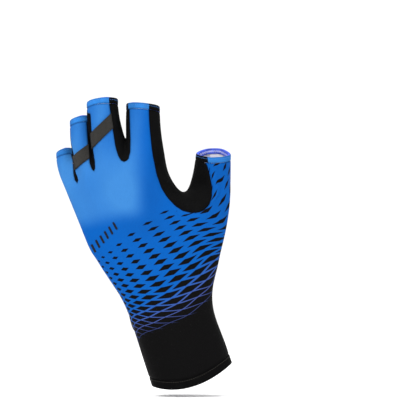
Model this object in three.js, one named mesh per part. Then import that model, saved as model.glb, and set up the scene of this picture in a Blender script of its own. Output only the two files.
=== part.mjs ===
// A fingerless cycling glove for the left hand, in the form it has when worn and held upright.
// Frame: +Z towards the fingers, +X towards the thumb, -Y out of the back of the hand, millimetres.
// The origin is the centre of the cuff opening.
import * as THREE from "three";

// Driving dimensions, millimetres
const REACH = 231.5; // cuff opening to the rim of the middle finger
const BREADTH = 86; // across the knuckles
const THICKNESS = 44; // wrist, from back to palm
const STRETCH_WALL = 1.4; // printed stretch cloth
const SUEDE_WALL = 1.8; // palm suede
const GUSSET_WALL = 1.2; // finger side walls
const SEAM_WALL = 1.1; // every panel at its own edge
const HEM_WALL = 2.4; // cloth turned in and stitched
const FINGER_HEM = 5; // depth of a finger hem
const CUFF_HEM = 8; // depth of the cuff hem
const SEAM_GAP = 0.3; // between neighbouring panels
const LAID_GAP = 0.35; // between a panel and what is laid on it
const STRAP_WIDTH = 18;
const STRAP_CORNER = 4; // radius at the strap's free end
const STRAP_RAMP = 12; // length over which the strap climbs on to the cuff
const PAD_HEIGHT = 1.8;
const PAD_LIP = 0.72; // height of a pad at its outline
const PAD_EDGE = 6; // width of a pad's rounded edge
const RIBBON_WIDTH = 10;
const RIBBON_WALL = 1;
const ROUNDNESS = 0.909; // exponent that squares the wrist's oval a little
const FIT_STEPS = 8; // passes that pull the smooth surface on to its table points

// All table lengths are shares: x of BREADTH, y of THICKNESS, z of REACH. Angles are degrees,
// 180 at the little finger's side, 90 at the back, 0 at the thumb's side and -90 at the palm.
const named = (columns, row) => Object.fromEntries(columns.map((name, i) => [name, row[i]]));
const table = (columns, rows) => rows.map((row) => named(columns, row));

// Rows round wrist and hand, from just below the rim up to the crotch of the thumb
const TRUNK = table(
  ["leftX", "leftZ", "rightX", "rightZ", "back", "palm", "dip"],
  [
    [-0.36, -0.069, 0.414, 0.015, 0.541, 0.545, 0.039],
    [-0.386, -0.037, 0.388, 0.047, 0.536, 0.541, 0.039],
    [-0.414, -0.003, 0.36, 0.081, 0.527, 0.532, 0.039],
    [-0.467, 0.057, 0.306, 0.132, 0.509, 0.514, 0.03],
    [-0.538, 0.14, 0.248, 0.188, 0.486, 0.491, 0.022],
    [-0.605, 0.214, 0.205, 0.246, 0.464, 0.468, 0.013],
    [-0.679, 0.276, 0.198, 0.307, 0.441, 0.464, 0.006],
    [-0.751, 0.319, 0.23, 0.363, 0.418, 0.473, 0.004],
    [-0.817, 0.356, 0.272, 0.434, 0.4, 0.486, 0.009],
    [-0.879, 0.391, 0.317, 0.505, 0.386, 0.491, 0.015],
    [-0.937, 0.425, 0.353, 0.581, 0.377, 0.482, 0.022],
    [-0.994, 0.46, 0.37, 0.652, 0.368, 0.464, 0.026],
  ],
);
const RIM_ROW = 1;
const HEM_ROW = 2;

// How the columns of points turn from the cuff to the thumb's crotch; the columns between are even
const COLUMN_TURN = table(
  ["column", "cuff", "crotch"],
  [
    [0, 180, 180],
    [1, 168, 168],
    [9, 69, 62],
    [10, 57, 38],
    [13, 20, 0],
    [14, 8, -18],
    [17, -39, -62],
    [25, -164, -168],
    [26, -180, -180],
  ],
);
const TRUNK_COLUMNS = 26;
const FIRST_BACK = 1;
const BACK_SEAM = 9; // back edge of the band between thumb and index finger
const THUMB_SEAM = 14; // seam down the thumb's outer side
const PALM_SEAM = 17; // palm edge of the band

// The row of points round the hand from which the four fingers leave
const KNUCKLES = table(
  ["x", "y", "z"],
  [
    [-1.238, 0.295, 0.68],
    [-1.226, 0.11, 0.68],
    [-1.172, 0.0, 0.685],
    [-1.11, -0.07, 0.692],
    [-1.033, -0.227, 0.715],
    [-0.944, -0.239, 0.734],
    [-0.8, -0.318, 0.752],
    [-0.652, -0.273, 0.765],
    [-0.506, -0.307, 0.778],
    [-0.372, -0.216, 0.786],
    [-0.267, 0.057, 0.793],
    [-0.331, 0.295, 0.795],
    [-0.477, 0.398, 0.803],
    [-0.651, 0.352, 0.812],
    [-0.802, 0.42, 0.795],
    [-0.953, 0.398, 0.778],
    [-1.052, 0.5, 0.756],
    [-1.134, 0.51, 0.734],
    [-1.198, 0.58, 0.713],
    [-1.233, 0.48, 0.693],
  ],
);
const HAND_STEPS = 3; // rows from the thumb's crotch to the knuckles
// How far the two rows between bend off the straight line, towards the thumb's band
const HAND_BEND = table(
  ["x", "z"],
  [
    [-0.064, -0.036],
    [-0.07, -0.026],
  ],
);
const BEND_SHARES = { 7: 0.2, 8: 0.5, 9: 1, 10: 0.4, 11: 1, 12: 0.5, 13: 0.2 };

// Middles of the webs between neighbouring fingers, and between index finger and thumb
const WEBS = table(
  ["x", "y", "z"],
  [
    [-1.151, 0.25, 0.762],
    [-0.967, 0.091, 0.808],
    [-0.643, 0.057, 0.85],
  ],
);
const THUMB_WEB = { x: -0.087, y: 0.068, z: 0.66 };

// Rims of the finger openings; rise lifts the back of a rim and sink lowers its palm side
const FINGERS = table(
  ["name", "x", "y", "halfX", "halfY", "leftZ", "rightZ", "rise", "sink"],
  [
    ["pinky", -1.24, 0.682, 0.084, 0.193, 0.802, 0.815, 0.009, 0.013],
    ["ring", -1.078, 0.341, 0.106, 0.205, 0.917, 0.93, 0.009, 0.017],
    ["middle", -0.864, 0.091, 0.151, 0.239, 0.982, 0.991, 0.011, 0.019],
    ["index", -0.474, 0.136, 0.164, 0.227, 0.975, 0.965, 0.009, 0.022],
  ],
);
// Angles of the eight points round each rim
const FINGER_TURNS = {
  pinky: [-160, 172, 126, 80, 24, -32, -84, -134],
  ring: [-162, 175, 123, 72, 18, -36, -86, -136],
  middle: [-162, 175, 120, 64, 10, -42, -88, -136],
  index: [-173, 150, 110, 69, 12, -45, -90, -135],
};
const FINGER_STEPS = 3; // rows from the knuckles to the hem of a finger
const FINGER_EASE = 1.6; // how early a finger reaches its own width, from 1 for evenly
const WEDGE_OPENING = 2; // how far each side wall opens just above the crotch of two fingers

// Rows up the thumb; backDrop lowers the back of a row and palmRise lifts its palm side, and
// tiltPower draws the drop together towards the middle of the back
const THUMB_TURNS = [
  [180, 86, 62, 40, 14, -10, -34, -62, -92, -128],
  [180, 92, 66, 40, 14, -12, -44, -72, -102, -138],
  [180, 112, 84, 56, 26, -6, -52, -82, -112, -146],
];
const THUMB = table(
  ["leftX", "rightX", "leftZ", "rightZ", "y", "halfY", "backDrop", "palmRise", "tiltPower"],
  [
    [-0.019, 0.372, 0.683, 0.695, 0.114, 0.341, 0.046, -0.039, 3],
    [0.021, 0.373, 0.73, 0.737, 0.136, 0.318, 0.043, -0.004, 2],
    [0.045, 0.373, 0.796, 0.796, 0.136, 0.295, 0.012, 0.022, 1],
  ],
);

// Lower edge of the palm suede, from the little finger's side to the thumb's side
const SUEDE_EDGE = table(
  ["x", "z"],
  [
    [-0.72, 0.25],
    [-0.63, 0.225],
    [-0.57, 0.185],
    [-0.53, 0.158],
    [-0.43, 0.17],
    [-0.35, 0.195],
    [-0.306, 0.222],
    [-0.233, 0.272],
    [-0.145, 0.337],
    [-0.023, 0.389],
    [0.116, 0.428],
    [0.256, 0.458],
    [0.465, 0.484],
  ],
);
const STRAP_LINE = table(
  ["x", "z"],
  [
    [-0.465, 0.235],
    [-0.425, 0.18],
    [-0.355, 0.104],
    [-0.28, 0.026],
    [-0.22, -0.06],
  ],
);
// Outlines of the palm pads, each a closed curve through its points
const PADS = {
  grip_pad_upper: [
    [-1.081, 0.609],
    [-0.988, 0.667],
    [-0.866, 0.689],
    [-0.737, 0.696],
    [-0.631, 0.739],
    [-0.477, 0.765],
    [-0.337, 0.756],
    [-0.285, 0.706],
    [-0.343, 0.646],
    [-0.577, 0.601],
    [-0.815, 0.543],
    [-0.972, 0.53],
  ],
  grip_pad_heel: [
    [-0.93, 0.475],
    [-0.802, 0.486],
    [-0.645, 0.49],
    [-0.576, 0.423],
    [-0.541, 0.363],
    [-0.494, 0.302],
    [-0.57, 0.272],
    [-0.651, 0.285],
    [-0.733, 0.341],
    [-0.831, 0.406],
  ],
  grip_pad_thumb: [
    [-0.593, 0.508],
    [-0.538, 0.56],
    [-0.453, 0.592],
    [-0.36, 0.601],
    [-0.25, 0.583],
    [-0.163, 0.546],
    [-0.131, 0.505],
    [-0.143, 0.462],
    [-0.184, 0.415],
    [-0.238, 0.371],
    [-0.314, 0.328],
    [-0.43, 0.305],
    [-0.483, 0.341],
    [-0.529, 0.41],
  ],
};
// Middle lines of the woven ribbons across two finger backs
const RIBBONS = table(
  ["finger", "x0", "z0", "x1", "z1"],
  [
    ["ring", -1.153, 0.758, -1.012, 0.8],
    ["middle", -0.967, 0.841, -0.771, 0.914],
  ],
);

const placed = (row) => new THREE.Vector3(row.x * BREADTH, (row.y ?? 0) * THICKNESS, row.z * REACH);
const smooth = (t) => THREE.MathUtils.smoothstep(t, 0, 1);
const signedPower = (value, exponent) => Math.sign(value) * Math.abs(value) ** exponent;

// The cage: rings of points, bridged by four-sided faces with a label each
const cage = { points: [], faces: [] };

function addPoint(position) {
  cage.points.push(position);
  return cage.points.length - 1;
}

// Faces between two rings of as many points, with labels(i) for the face after point i
function bridge(lower, upper, labels) {
  for (let i = 0; i < lower.length; i += 1) {
    const next = (i + 1) % lower.length;
    cage.faces.push({ loop: [lower[i], lower[next], upper[next], upper[i]], ...labels(i) });
  }
}

function columnAngle(column, climb) {
  const knot = COLUMN_TURN.findIndex((row) => row.column >= column);
  const upper = COLUMN_TURN[knot];
  const lower = COLUMN_TURN[Math.max(knot - 1, 0)];
  const span = upper.column - lower.column || 1;
  const along = (column - lower.column) / span;
  const cuff = THREE.MathUtils.lerp(lower.cuff, upper.cuff, along);
  const crotch = THREE.MathUtils.lerp(lower.crotch, upper.crotch, along);
  return THREE.MathUtils.degToRad(THREE.MathUtils.lerp(cuff, crotch, climb));
}

function trunkPosition(row, column, climb) {
  const angle = columnAngle(column, climb);
  const across = signedPower(Math.cos(angle), ROUNDNESS);
  const depth = signedPower(Math.sin(angle), ROUNDNESS);
  const share = (across + 1) / 2;
  const x = THREE.MathUtils.lerp(row.leftX, row.rightX, share);
  const y = -depth * (depth > 0 ? row.back : row.palm);
  const z = THREE.MathUtils.lerp(row.leftZ, row.rightZ, share) - row.dip * (1 - across * across);
  return placed({ x, y, z });
}

// The hem keeps its own depth, whatever the length of the cuff
function hemPosition(rim, above) {
  const way = above.clone().sub(rim);
  return rim.clone().addScaledVector(way.normalize(), CUFF_HEM);
}

function trunkBand(row) {
  if (row < RIM_ROW) {
    return "guide";
  }
  return row < HEM_ROW ? "hem" : "cloth";
}

function buildTrunk() {
  const climbRows = TRUNK.length - 1 - RIM_ROW;
  const positions = TRUNK.map((row, index) => {
    const climb = smooth(Math.max(index - RIM_ROW, 0) / climbRows);
    return Array.from({ length: TRUNK_COLUMNS }, (_, column) => trunkPosition(row, column, climb));
  });
  const aboveHem = positions[HEM_ROW + 1];
  positions[HEM_ROW] = positions[RIM_ROW].map((rim, column) => hemPosition(rim, aboveHem[column]));
  const rings = positions.map((ring) => ring.map(addPoint));
  for (let row = 0; row + 1 < rings.length; row += 1) {
    const band = trunkBand(row);
    const sideOf = (i) => (i < THUMB_SEAM ? "back" : "palm");
    bridge(rings[row], rings[row + 1], (i) => ({ where: "trunk", band, side: sideOf(i) }));
  }
  return rings.at(-1);
}

function handSide(i) {
  if (i < BACK_SEAM) {
    return "back";
  }
  return i < BACK_SEAM + 2 ? "thumb_band" : "palm";
}

function buildHand(crotchRing) {
  const web = addPoint(placed(THUMB_WEB));
  const start = [...crotchRing.slice(0, BACK_SEAM + 1), web, ...crotchRing.slice(PALM_SEAM)];
  const goals = KNUCKLES.map(placed);
  let lower = start;
  for (let step = 1; step <= HAND_STEPS; step += 1) {
    const upper = goals.map((goal, i) => {
      const position = cage.points[start[i]].clone().lerp(goal, step / HAND_STEPS);
      const bend = HAND_BEND[step - 1];
      if (bend) {
        position.x += bend.x * BREADTH * (BEND_SHARES[i] ?? 0);
        position.z += bend.z * REACH * (BEND_SHARES[i] ?? 0);
      }
      return addPoint(position);
    });
    bridge(lower, upper, (i) => ({ where: "hand", band: "cloth", side: handSide(i) }));
    lower = upper;
  }
  return { knuckles: lower, web };
}

function thumbPosition(row, turn) {
  const angle = THREE.MathUtils.degToRad(turn);
  const across = Math.cos(angle);
  const back = Math.sin(angle);
  const share = (across + 1) / 2;
  const tilt = back > 0 ? -row.backDrop * back ** row.tiltPower : -row.palmRise * back;
  return placed({
    x: THREE.MathUtils.lerp(row.leftX, row.rightX, share),
    y: row.y - row.halfY * back,
    z: THREE.MathUtils.lerp(row.leftZ, row.rightZ, share) + tilt,
  });
}

function thumbSide(i, seam) {
  if (i === 0 || i === seam.last) {
    return "thumb_band";
  }
  return i < seam.outer ? "back" : "palm";
}

function buildThumb(crotchRing, web) {
  const start = [web, ...crotchRing.slice(BACK_SEAM, PALM_SEAM + 1)];
  const seam = { outer: THUMB_SEAM - BACK_SEAM + 1, last: start.length - 1 };
  const rows = THUMB.map((row, index) => THUMB_TURNS[index].map((turn) => thumbPosition(row, turn)));
  const rim = rows.at(-1);
  const below = rows.at(-2);
  const hem = rim.map((point, i) => {
    const way = below[i].clone().sub(point);
    return point.clone().addScaledVector(way.normalize(), FINGER_HEM);
  });
  rows.splice(rows.length - 1, 0, hem);
  let lower = start;
  rows.forEach((row, index) => {
    const upper = row.map(addPoint);
    const band = index === rows.length - 1 ? "hem" : "cloth";
    bridge(lower, upper, (i) => ({ where: "thumb", band, side: thumbSide(i, seam) }));
    lower = upper;
  });
}

function rimPosition(finger, turn) {
  const angle = THREE.MathUtils.degToRad(turn);
  const back = Math.sin(angle);
  const share = (Math.cos(angle) + 1) / 2;
  const tilt = back > 0 ? finger.rise * back : finger.sink * back;
  return placed({
    x: finger.x + finger.halfX * Math.cos(angle),
    y: finger.y - finger.halfY * back,
    z: THREE.MathUtils.lerp(finger.leftZ, finger.rightZ, share) + tilt,
  });
}

// Which way a seam next to a neighbouring finger opens: 1 on the left side, -1 on the right
function wedgeWay(index, column) {
  const isLeft = column === 1 || column === 7;
  const isRight = column === 3 || column === 5;
  if (isLeft && index > 0) {
    return 1;
  }
  return isRight && index < FINGERS.length - 1 ? -1 : 0;
}

// Sides of a finger's eight faces, from its left side over its back and right side to its palm
function fingerSides(index) {
  const left = index === 0 ? null : `gap_${index}`;
  const right = index === FINGERS.length - 1 ? "thumb_band" : `gap_${index + 1}`;
  return [left ?? "back", "back", "back", right, right, "palm", "palm", left ?? "palm"];
}

function buildFinger(finger, index, knuckles, webs) {
  const first = FIRST_BACK + 2 * index;
  const last = knuckles.length - 2 * index;
  const leftWeb = index === 0 ? knuckles[0] : webs[index - 1];
  const rightWeb = index === FINGERS.length - 1 ? knuckles[BACK_SEAM + 1] : webs[index];
  const start = [
    leftWeb,
    knuckles[first],
    knuckles[first + 1],
    knuckles[first + 2],
    rightWeb,
    knuckles[last - 3],
    knuckles[last - 2],
    knuckles[last - 1],
  ];
  const rim = FINGER_TURNS[finger.name].map((turn) => rimPosition(finger, turn));
  const sides = fingerSides(index);
  let lower = start;
  for (let step = 1; step <= FINGER_STEPS; step += 1) {
    const along = step / FINGER_STEPS;
    const ease = 1 - (1 - along) ** FINGER_EASE;
    const upper = rim.map((point, i) => {
      const root = cage.points[start[i]];
      const hem = point.clone().add(new THREE.Vector3(0, 0, -FINGER_HEM));
      const opening = step === 1 ? WEDGE_OPENING * wedgeWay(index, i) : 0;
      const x = THREE.MathUtils.lerp(root.x, hem.x, ease) + opening;
      const y = THREE.MathUtils.lerp(root.y, hem.y, ease);
      const z = THREE.MathUtils.lerp(root.z, hem.z, along);
      return addPoint(new THREE.Vector3(x, y, z));
    });
    bridge(lower, upper, (i) => ({ where: finger.name, band: "cloth", side: sides[i] }));
    lower = upper;
  }
  const top = rim.map(addPoint);
  bridge(lower, top, (i) => ({ where: finger.name, band: "hem", side: sides[i] }));
}

// Neighbours of every point: across an edge, across a face, and along an open edge
function neighbours(mesh) {
  const around = mesh.points.map(() => ({ edges: new Set(), corners: [], open: [] }));
  const uses = new Map();
  for (const { loop } of mesh.faces) {
    loop.forEach((point, i) => {
      const next = loop[(i + 1) % 4];
      around[point].edges.add(next);
      around[next].edges.add(point);
      around[point].corners.push(loop[(i + 2) % 4]);
      const key = point < next ? `${point},${next}` : `${next},${point}`;
      uses.set(key, (uses.get(key) ?? 0) + 1);
    });
  }
  for (const [key, count] of uses) {
    if (count === 1) {
      const [a, b] = key.split(",").map(Number);
      around[a].open.push(b);
      around[b].open.push(a);
    }
  }
  return around;
}

// Where a subdivision surface ends up at each point of its mesh
function limitPoints(mesh, around) {
  return mesh.points.map((point, index) => {
    const near = around[index];
    if (near.open.length === 2) {
      const sum = point.clone().multiplyScalar(4);
      near.open.forEach((other) => sum.add(mesh.points[other]));
      return sum.divideScalar(6);
    }
    const count = near.edges.size;
    const sum = point.clone().multiplyScalar(count * count);
    near.edges.forEach((other) => sum.addScaledVector(mesh.points[other], 4));
    near.corners.forEach((other) => sum.add(mesh.points[other]));
    return sum.divideScalar(count * (count + 5));
  });
}

function fitCage(mesh) {
  const goals = mesh.points.map((point) => point.clone());
  const around = neighbours(mesh);
  for (let step = 0; step < FIT_STEPS; step += 1) {
    const limits = limitPoints(mesh, around);
    mesh.points.forEach((point, i) => point.add(goals[i]).sub(limits[i]));
  }
}

// One Catmull-Clark step: every four-sided face becomes four
function subdivide(mesh) {
  const around = neighbours(mesh);
  const points = mesh.points.map((point, index) => {
    const near = around[index];
    if (near.open.length === 2) {
      const sum = point.clone().multiplyScalar(6);
      near.open.forEach((other) => sum.add(mesh.points[other]));
      return sum.divideScalar(8);
    }
    const count = near.edges.size;
    const sum = point.clone().multiplyScalar(count * count - (7 * count) / 4);
    near.edges.forEach((other) => sum.addScaledVector(mesh.points[other], 3 / 2));
    near.corners.forEach((other) => sum.addScaledVector(mesh.points[other], 1 / 4));
    return sum.divideScalar(count * count);
  });
  const average = (items) =>
    items.reduce((sum, item) => sum.add(item), new THREE.Vector3()).divideScalar(items.length);
  const faceCentres = mesh.faces.map(({ loop }) => average(loop.map((i) => mesh.points[i])));
  const edgeFaces = new Map();
  mesh.faces.forEach(({ loop }, face) => {
    loop.forEach((point, i) => {
      const next = loop[(i + 1) % 4];
      const key = point < next ? `${point},${next}` : `${next},${point}`;
      edgeFaces.set(key, [...(edgeFaces.get(key) ?? []), face]);
    });
  });
  const edgePoints = new Map();
  for (const [key, faces] of edgeFaces) {
    const ends = key.split(",").map((i) => mesh.points[Number(i)]);
    const centres = faces.length === 2 ? faces.map((face) => faceCentres[face]) : [];
    points.push(average([...ends, ...centres]));
    edgePoints.set(key, points.length - 1);
  }
  const faces = [];
  mesh.faces.forEach((face, index) => {
    points.push(faceCentres[index]);
    const centre = points.length - 1;
    const middles = face.loop.map((point, i) => {
      const next = face.loop[(i + 1) % 4];
      return edgePoints.get(point < next ? `${point},${next}` : `${next},${point}`);
    });
    face.loop.forEach((point, i) => {
      faces.push({ ...face, loop: [point, middles[i], centre, middles[(i + 3) % 4]] });
    });
  });
  return { points, faces };
}

// The finished skin: points on the smooth surface, their normals and labelled triangles
function makeSkin(mesh) {
  const points = limitPoints(mesh, neighbours(mesh));
  const normals = points.map(() => new THREE.Vector3());
  const triangles = [];
  for (const { loop, ...label } of mesh.faces) {
    triangles.push({ corners: [loop[0], loop[1], loop[2]], ...label });
    triangles.push({ corners: [loop[0], loop[2], loop[3]], ...label });
  }
  for (const { corners } of triangles) {
    const [a, b, c] = corners.map((i) => points[i]);
    const normal = b.clone().sub(a).cross(c.clone().sub(a));
    corners.forEach((i) => normals[i].add(normal));
  }
  normals.forEach((normal) => normal.normalize());
  return { points, normals, triangles };
}

const patchOf = (skin, wanted) => ({ ...skin, triangles: skin.triangles.filter(wanted) });

const SNAP = 0.15; // a cut this near to a corner goes through the corner

// The part of a patch where field(point) is below zero
function trim(patch, field) {
  const points = [...patch.points];
  const normals = [...patch.normals];
  const used = new Set(patch.triangles.flatMap(({ corners }) => corners));
  const values = new Map([...used].map((i) => [i, field(points[i])]));
  const cuts = new Map();
  const crossing = (a, b) => {
    const key = a < b ? `${a},${b}` : `${b},${a}`;
    if (!cuts.has(key)) {
      const t = values.get(a) / (values.get(a) - values.get(b));
      points.push(points[a].clone().lerp(points[b], t));
      normals.push(normals[a].clone().lerp(normals[b], t).normalize());
      cuts.set(key, points.length - 1);
    }
    return cuts.get(key);
  };
  const moves = new Map();
  for (const { corners } of patch.triangles) {
    corners.forEach((a, i) => {
      const b = corners[(i + 1) % 3];
      for (const [near, far] of [[a, b], [b, a]]) {
        const t = values.get(near) / (values.get(near) - values.get(far));
        if (values.get(near) * values.get(far) < 0 && t < SNAP && t < (moves.get(near)?.t ?? 1)) {
          moves.set(near, { t, position: points[near].clone().lerp(points[far], t) });
        }
      }
    });
  }
  for (const [index, { position }] of moves) {
    points[index] = position;
    values.set(index, 0);
  }
  const triangles = [];
  for (const triangle of patch.triangles) {
    const kept = [];
    triangle.corners.forEach((a, i) => {
      const b = triangle.corners[(i + 1) % 3];
      if (values.get(a) <= 0) {
        kept.push(a);
      }
      if (values.get(a) * values.get(b) < 0) {
        kept.push(crossing(a, b));
      }
    });
    const inside = triangle.corners.some((i) => values.get(i) < 0);
    for (let i = 1; inside && i + 1 < kept.length; i += 1) {
      triangles.push({ ...triangle, corners: [kept[0], kept[i], kept[i + 1]] });
    }
  }
  return largestPart({ points, normals, triangles });
}

// The largest piece of a patch whose triangles hang together by their edges
function largestPart(patch) {
  const byEdge = new Map();
  patch.triangles.forEach(({ corners }, index) => {
    corners.forEach((a, i) => byEdge.set(`${a},${corners[(i + 1) % 3]}`, index));
  });
  const seen = new Set();
  let largest = [];
  for (let start = 0; start < patch.triangles.length; start += 1) {
    const part = [];
    const queue = seen.has(start) ? [] : [start];
    seen.add(start);
    while (queue.length > 0) {
      const index = queue.pop();
      part.push(patch.triangles[index]);
      const { corners } = patch.triangles[index];
      corners.forEach((a, i) => {
        const other = byEdge.get(`${corners[(i + 1) % 3]},${a}`);
        if (other !== undefined && !seen.has(other)) {
          seen.add(other);
          queue.push(other);
        }
      });
    }
    largest = part.length > largest.length ? part : largest;
  }
  return { ...patch, triangles: largest };
}

// A closed solid over a patch, from lift(point) above the skin down by wall(point)
function shell(patch, lift, wall) {
  const used = [...new Set(patch.triangles.flatMap(({ corners }) => corners))];
  const pulls = new Map(used.map((i) => [i, new THREE.Vector3()]));
  const edges = new Set();
  for (const { corners } of patch.triangles) {
    const middle = new THREE.Vector3();
    corners.forEach((i) => middle.addScaledVector(patch.points[i], 1 / 3));
    corners.forEach((a, i) => {
      pulls.get(a).add(middle.clone().sub(patch.points[a]).normalize());
      edges.add(`${a},${corners[(i + 1) % 3]}`);
    });
  }
  const pairs = [...edges].map((key) => key.split(",").map(Number));
  const rimEdges = pairs.filter(([a, b]) => !edges.has(`${b},${a}`));
  const onRim = new Set(rimEdges.flat());
  const positions = [];
  const outer = new Map();
  const inner = new Map();
  for (const i of used) {
    const point = patch.points[i];
    const normal = patch.normals[i];
    const base = point.clone();
    if (onRim.has(i)) {
      const pull = pulls.get(i);
      pull.addScaledVector(normal, -pull.dot(normal)).normalize();
      base.addScaledVector(pull, SEAM_GAP / 2);
    }
    const top = base.clone().addScaledVector(normal, lift(point));
    const depth = onRim.has(i) ? Math.min(wall(point), SEAM_WALL) : wall(point);
    const bottom = base.clone().addScaledVector(normal, lift(point) - depth);
    outer.set(i, positions.push(top) - 1);
    inner.set(i, positions.push(bottom) - 1);
  }
  const indices = [];
  for (const { corners } of patch.triangles) {
    const [a, b, c] = corners;
    indices.push(outer.get(a), outer.get(b), outer.get(c));
    indices.push(inner.get(a), inner.get(c), inner.get(b));
  }
  for (const [a, b] of rimEdges) {
    // Both panels at a seam split its twisted side face along the same diagonal
    const down = patch.points[a].z - patch.points[b].z || patch.points[a].x - patch.points[b].x;
    if (down > 0) {
      indices.push(outer.get(b), outer.get(a), inner.get(a));
      indices.push(outer.get(b), inner.get(a), inner.get(b));
    } else {
      indices.push(outer.get(b), outer.get(a), inner.get(b));
      indices.push(outer.get(a), inner.get(a), inner.get(b));
    }
  }
  const geometry = new THREE.BufferGeometry().setFromPoints(positions);
  geometry.setIndex(indices);
  geometry.computeVertexNormals();
  return geometry;
}

// Signed distance from a closed outline, below zero inside it, seen along Y
function outlineField(outline) {
  return (point) => {
    let nearest = Infinity;
    let inside = false;
    outline.forEach((a, i) => {
      const b = outline[(i + 1) % outline.length];
      const wayX = b.x - a.x;
      const wayZ = b.z - a.z;
      const length = wayX * wayX + wayZ * wayZ;
      const t = THREE.MathUtils.clamp(((point.x - a.x) * wayX + (point.z - a.z) * wayZ) / length, 0, 1);
      nearest = Math.min(nearest, Math.hypot(point.x - a.x - t * wayX, point.z - a.z - t * wayZ));
      if (a.z > point.z !== b.z > point.z && point.x < a.x + ((point.z - a.z) / wayZ) * wayX) {
        inside = !inside;
      }
    });
    return inside ? -nearest : nearest;
  };
}

// Signed distance from a strip along an open line, below zero inside, seen along Y; the strip
// ends square at the line's last point, with rounded corners
function stripField(line, width, corner) {
  return (point) => {
    let nearest = Infinity;
    let across = 0;
    let beyond = 0;
    line.slice(1).forEach((b, i) => {
      const a = line[i];
      const length = Math.hypot(b.x - a.x, b.z - a.z);
      const wayX = (b.x - a.x) / length;
      const wayZ = (b.z - a.z) / length;
      const along = (point.x - a.x) * wayX + (point.z - a.z) * wayZ;
      const kept = THREE.MathUtils.clamp(along, 0, length);
      const distance = Math.hypot(point.x - a.x - kept * wayX, point.z - a.z - kept * wayZ);
      if (distance < nearest) {
        nearest = distance;
        across = Math.abs((point.x - a.x) * wayZ - (point.z - a.z) * wayX);
        beyond = i === line.length - 2 ? along - length : -corner;
      }
    });
    const outX = Math.max(across - (width / 2 - corner), 0);
    const outZ = Math.max(beyond + corner, 0);
    return outX + outZ > 0 ? Math.hypot(outX, outZ) - corner : across - width / 2;
  };
}

const CURVE_STEPS = 8; // straight pieces between two points of a curve

function curved(points, closed) {
  const curve = new THREE.CatmullRomCurve3(points, closed, "centripetal");
  const steps = (closed ? points.length : points.length - 1) * CURVE_STEPS;
  const samples = curve.getPoints(steps);
  return closed ? samples.slice(0, -1) : samples;
}

const suedeCurve = curved(SUEDE_EDGE.map(placed), false);
const farSide = 2 * BREADTH;
const suedeField = outlineField([
  ...suedeCurve,
  new THREE.Vector3(farSide, 0, suedeCurve.at(-1).z),
  new THREE.Vector3(farSide, 0, 2 * REACH),
  new THREE.Vector3(-farSide, 0, 2 * REACH),
  new THREE.Vector3(-farSide, 0, suedeCurve[0].z),
]);
const strapCurve = curved(STRAP_LINE.map(placed), false);
const strapField = stripField(strapCurve, STRAP_WIDTH, STRAP_CORNER);
const palmField = (point) => Math.min(suedeField(point), strapField(point));

// The strap lies on the cuff: it climbs by its own wall just before it leaves the palm's edge
const strapWay = strapCurve.at(-1).clone().sub(strapCurve[0]).normalize();
const leaving = suedeCurve.filter((point) => strapField(point) < 0);
const overlapStart = Math.min(...leaving.map((point) => point.dot(strapWay)));
function strapLift(point) {
  const along = (point.x * strapWay.x + point.z * strapWay.z - overlapStart) / STRAP_RAMP + 1;
  return (SUEDE_WALL + LAID_GAP) * smooth(along);
}

const glove = new THREE.Group();

function addPiece(name, geometry, look) {
  const mesh = new THREE.Mesh(geometry, new THREE.MeshStandardMaterial({ ...look, metalness: 0 }));
  mesh.name = name;
  glove.add(mesh);
}

const PRINTED_CLOTH = { color: 0x1e78e0, roughness: 0.55 };
const BLACK_CLOTH = { color: 0x121214, roughness: 0.6 };
const HEM_CLOTH = { color: 0x3f55d8, roughness: 0.6 };
const SUEDE = { color: 0x6f7071, roughness: 0.9 };
const PAD_SUEDE = { color: 0x8d8e8c, roughness: 0.8 };
const WOVEN_TAPE = { color: 0x2f2d2b, roughness: 0.85 };

const crotchRing = buildTrunk();
const { knuckles, web: thumbWeb } = buildHand(crotchRing);
const fingerWebs = WEBS.map((row) => addPoint(placed(row)));
FINGERS.forEach((finger, index) => buildFinger(finger, index, knuckles, fingerWebs));
buildThumb(crotchRing, thumbWeb);
fitCage(cage);
const smoothCage = subdivide(cage);
const skin = makeSkin(smoothCage);
const fineSkin = makeSkin(subdivide(smoothCage)); // for the narrow ribbons

const none = () => 0;
const isFingerHem = ({ where, band }) => band === "hem" && where !== "trunk";
const isPalmSide = (face) => face.side === "palm" && !isFingerHem(face);

const backPatch = patchOf(skin, (face) => face.side === "back" && face.band === "cloth");
addPiece("back_panel", shell(backPatch, none, () => STRETCH_WALL), PRINTED_CLOTH);

const palmPatch = patchOf(skin, isPalmSide);
addPiece("palm_panel", shell(trim(palmPatch, palmField), strapLift, () => SUEDE_WALL), SUEDE);

const isUnderside = (face) => face.where === "trunk" && face.side === "palm" && face.band === "cloth";
const cuffTrimmed = trim(patchOf(skin, isUnderside), (point) => -suedeField(point));
addPiece("cuff_underside", shell(cuffTrimmed, none, () => STRETCH_WALL), BLACK_CLOTH);

const cuffHem = patchOf(skin, (face) => face.where === "trunk" && face.band === "hem");
addPiece("cuff_hem", shell(cuffHem, none, () => HEM_WALL), BLACK_CLOTH);

const bandPatch = patchOf(skin, (face) => face.side === "thumb_band" && face.band === "cloth");
addPiece("index_thumb_band", shell(bandPatch, none, () => GUSSET_WALL), BLACK_CLOTH);

["ring_pinky", "middle_ring", "index_middle"].forEach((pair, index) => {
  const gusset = patchOf(skin, (face) => face.side === `gap_${index + 1}` && face.band === "cloth");
  addPiece(`gusset_${pair}`, shell(gusset, none, () => GUSSET_WALL), BLACK_CLOTH);
});

for (const where of ["thumb", ...FINGERS.map((finger) => finger.name)]) {
  const hem = patchOf(skin, (face) => face.where === where && face.band === "hem");
  addPiece(`hem_${where}`, shell(hem, none, () => HEM_WALL), HEM_CLOTH);
}

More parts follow.
